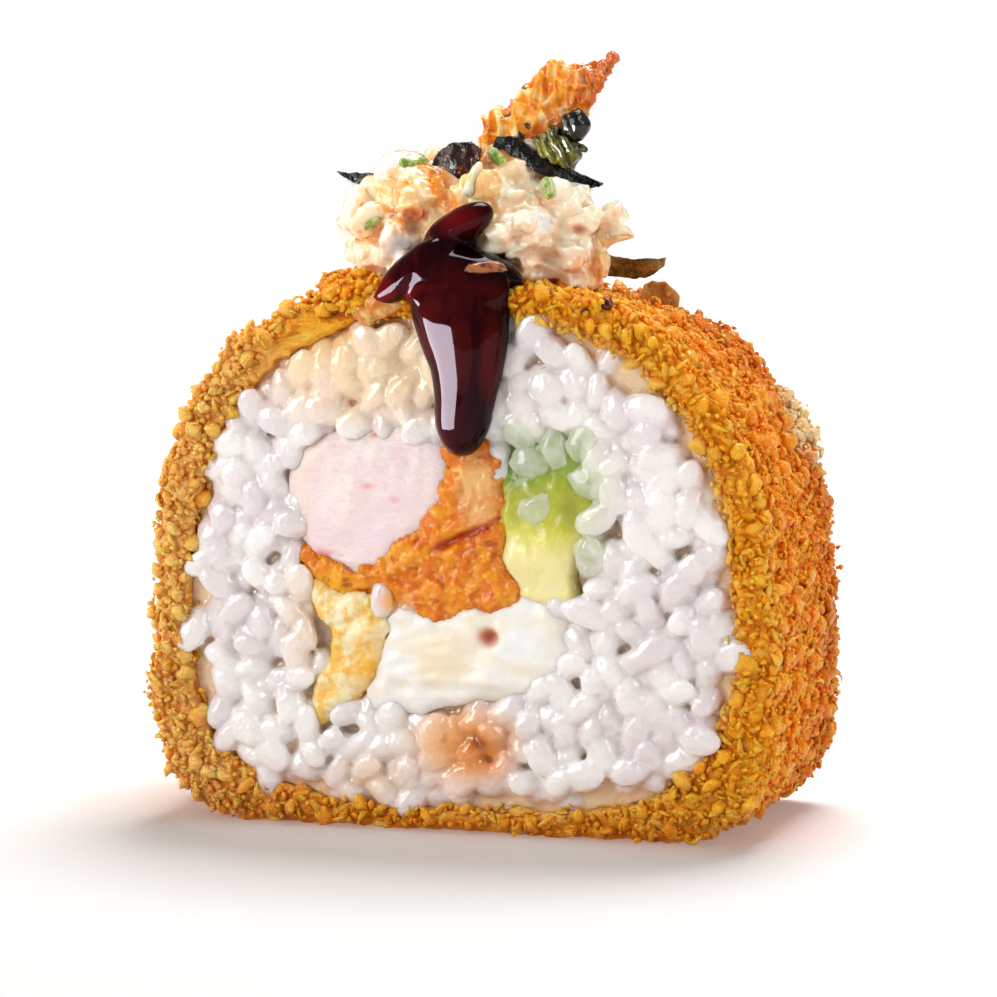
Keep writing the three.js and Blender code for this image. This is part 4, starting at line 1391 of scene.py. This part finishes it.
# The floor glows as painted light: brighter far off, weaker and a little warm near the slice.
FLOOR_GLOW_FAR = 0.805
FLOOR_GLOW_NEAR = (0.21, 0.19, 0.18)
SURROUND_LIGHT = 0.2
TOP_DISTANCE = 0.7
# Each light's turn and rise in degrees, distance and size in metres, and power in watts.
SOFTBOXES = {
    "key_light": (-38, 22, 0.6, (0.22, 0.42), 2.05),
    "left_light": (-90, 24, 0.6, (0.3, 0.4), 1.8),
    "right_light": (78, 34, 0.8, (0.4, 0.5), 3.2),
    "top_light": (175, 64, TOP_DISTANCE, (0.4, 0.35), 4.4),
    "gloss_light": (-42, -2.6, 0.12, (0.115, 0.048), 0.79),
}


def toward(turn, rise):
    """The direction from the slice to a place round it, in degrees as the camera's."""
    turn, rise = math.radians(turn), math.radians(rise)
    return Vector(
        (math.sin(turn) * math.cos(rise), -math.cos(turn) * math.cos(rise), math.sin(rise))
    )


def softbox(name, turn, rise, distance, size, power):
    light = bpy.data.lights.new(name, "AREA")
    light.shape = "RECTANGLE"
    light.size, light.size_y = size
    light.energy = power
    lamp = new_piece(name, light)
    back = toward(turn, rise)
    lamp.location = AIM + back * distance
    lamp.rotation_euler = back.to_track_quat("Z", "Y").to_euler()
    lamp.visible_camera = False
    return lamp


def light_only(name, pieces, *lamps):
    """Makes lamps light these pieces and nothing else."""
    lit = bpy.data.collections.new(name)
    for piece in pieces:
        lit.objects.link(piece)
    for lamp in lamps:
        lamp.light_linking.receiver_collection = lit


left_out = [pour, *frame["nodes"].values()]
meshes = [piece for piece in bpy.context.scene.objects if piece.type == "MESH"]
slice_pieces = [piece for piece in meshes if piece not in left_out]
lamps = {name: softbox(name, *values) for name, values in SOFTBOXES.items()}
light_only("slice only", slice_pieces, lamps["key_light"], lamps["left_light"], lamps["right_light"])
light_only("wet pieces only", wet_pieces, lamps["gloss_light"])

world = bpy.data.worlds.new("surround")
world.use_nodes = True
surround = world.node_tree.nodes["Background"]
surround.inputs["Color"].default_value = (1, 1, 1, 1)
surround.inputs["Strength"].default_value = SURROUND_LIGHT
bpy.context.scene.world = world
bpy.context.scene.view_settings.view_transform = "Standard"

corners = [(x * FLOOR_HALF, y * FLOOR_HALF, 0) for x, y in ((-1, -1), (1, -1), (1, 1), (-1, 1))]
floor_mesh = bpy.data.meshes.new("floor")
floor_mesh.from_pydata(corners, [], [(0, 1, 2, 3)])
floor = new_piece("floor", floor_mesh)
floor_finish, shader, place = finish(
    "floor", {"Roughness": 0.7, "Specular IOR Level": 0.0, "Emission Strength": 1.0}
)
place.clouds(FLOOR_PATCHES).mix("FAFAFA", "FDFDFD").feed(shader, "Base Color")
across = place.axis(0) * MM
along = place.axis(1) * MM
squared = TOP_DISTANCE * TOP_DISTANCE
fading = squared / (across * across + along * along + squared)
glow_near = [*FLOOR_GLOW_NEAR, 1.0]
glow_far = [FLOOR_GLOW_FAR] * 3 + [1.0]
# The floor's painted glow, from near the slice to far off.
(fading * fading).mix(glow_far, glow_near).feed(shader, "Emission Color")
floor.data.materials.append(floor_finish)

camera = new_piece("camera", bpy.data.cameras.new("camera"))
camera.data.lens = LENS
back = toward(CAMERA_TURN, CAMERA_RISE)
camera.location = AIM + back * CAMERA_DISTANCE
camera.rotation_euler = back.to_track_quat("Z", "Y").to_euler()
camera.data.clip_end = SEEN_TO
bpy.context.scene.camera = camera
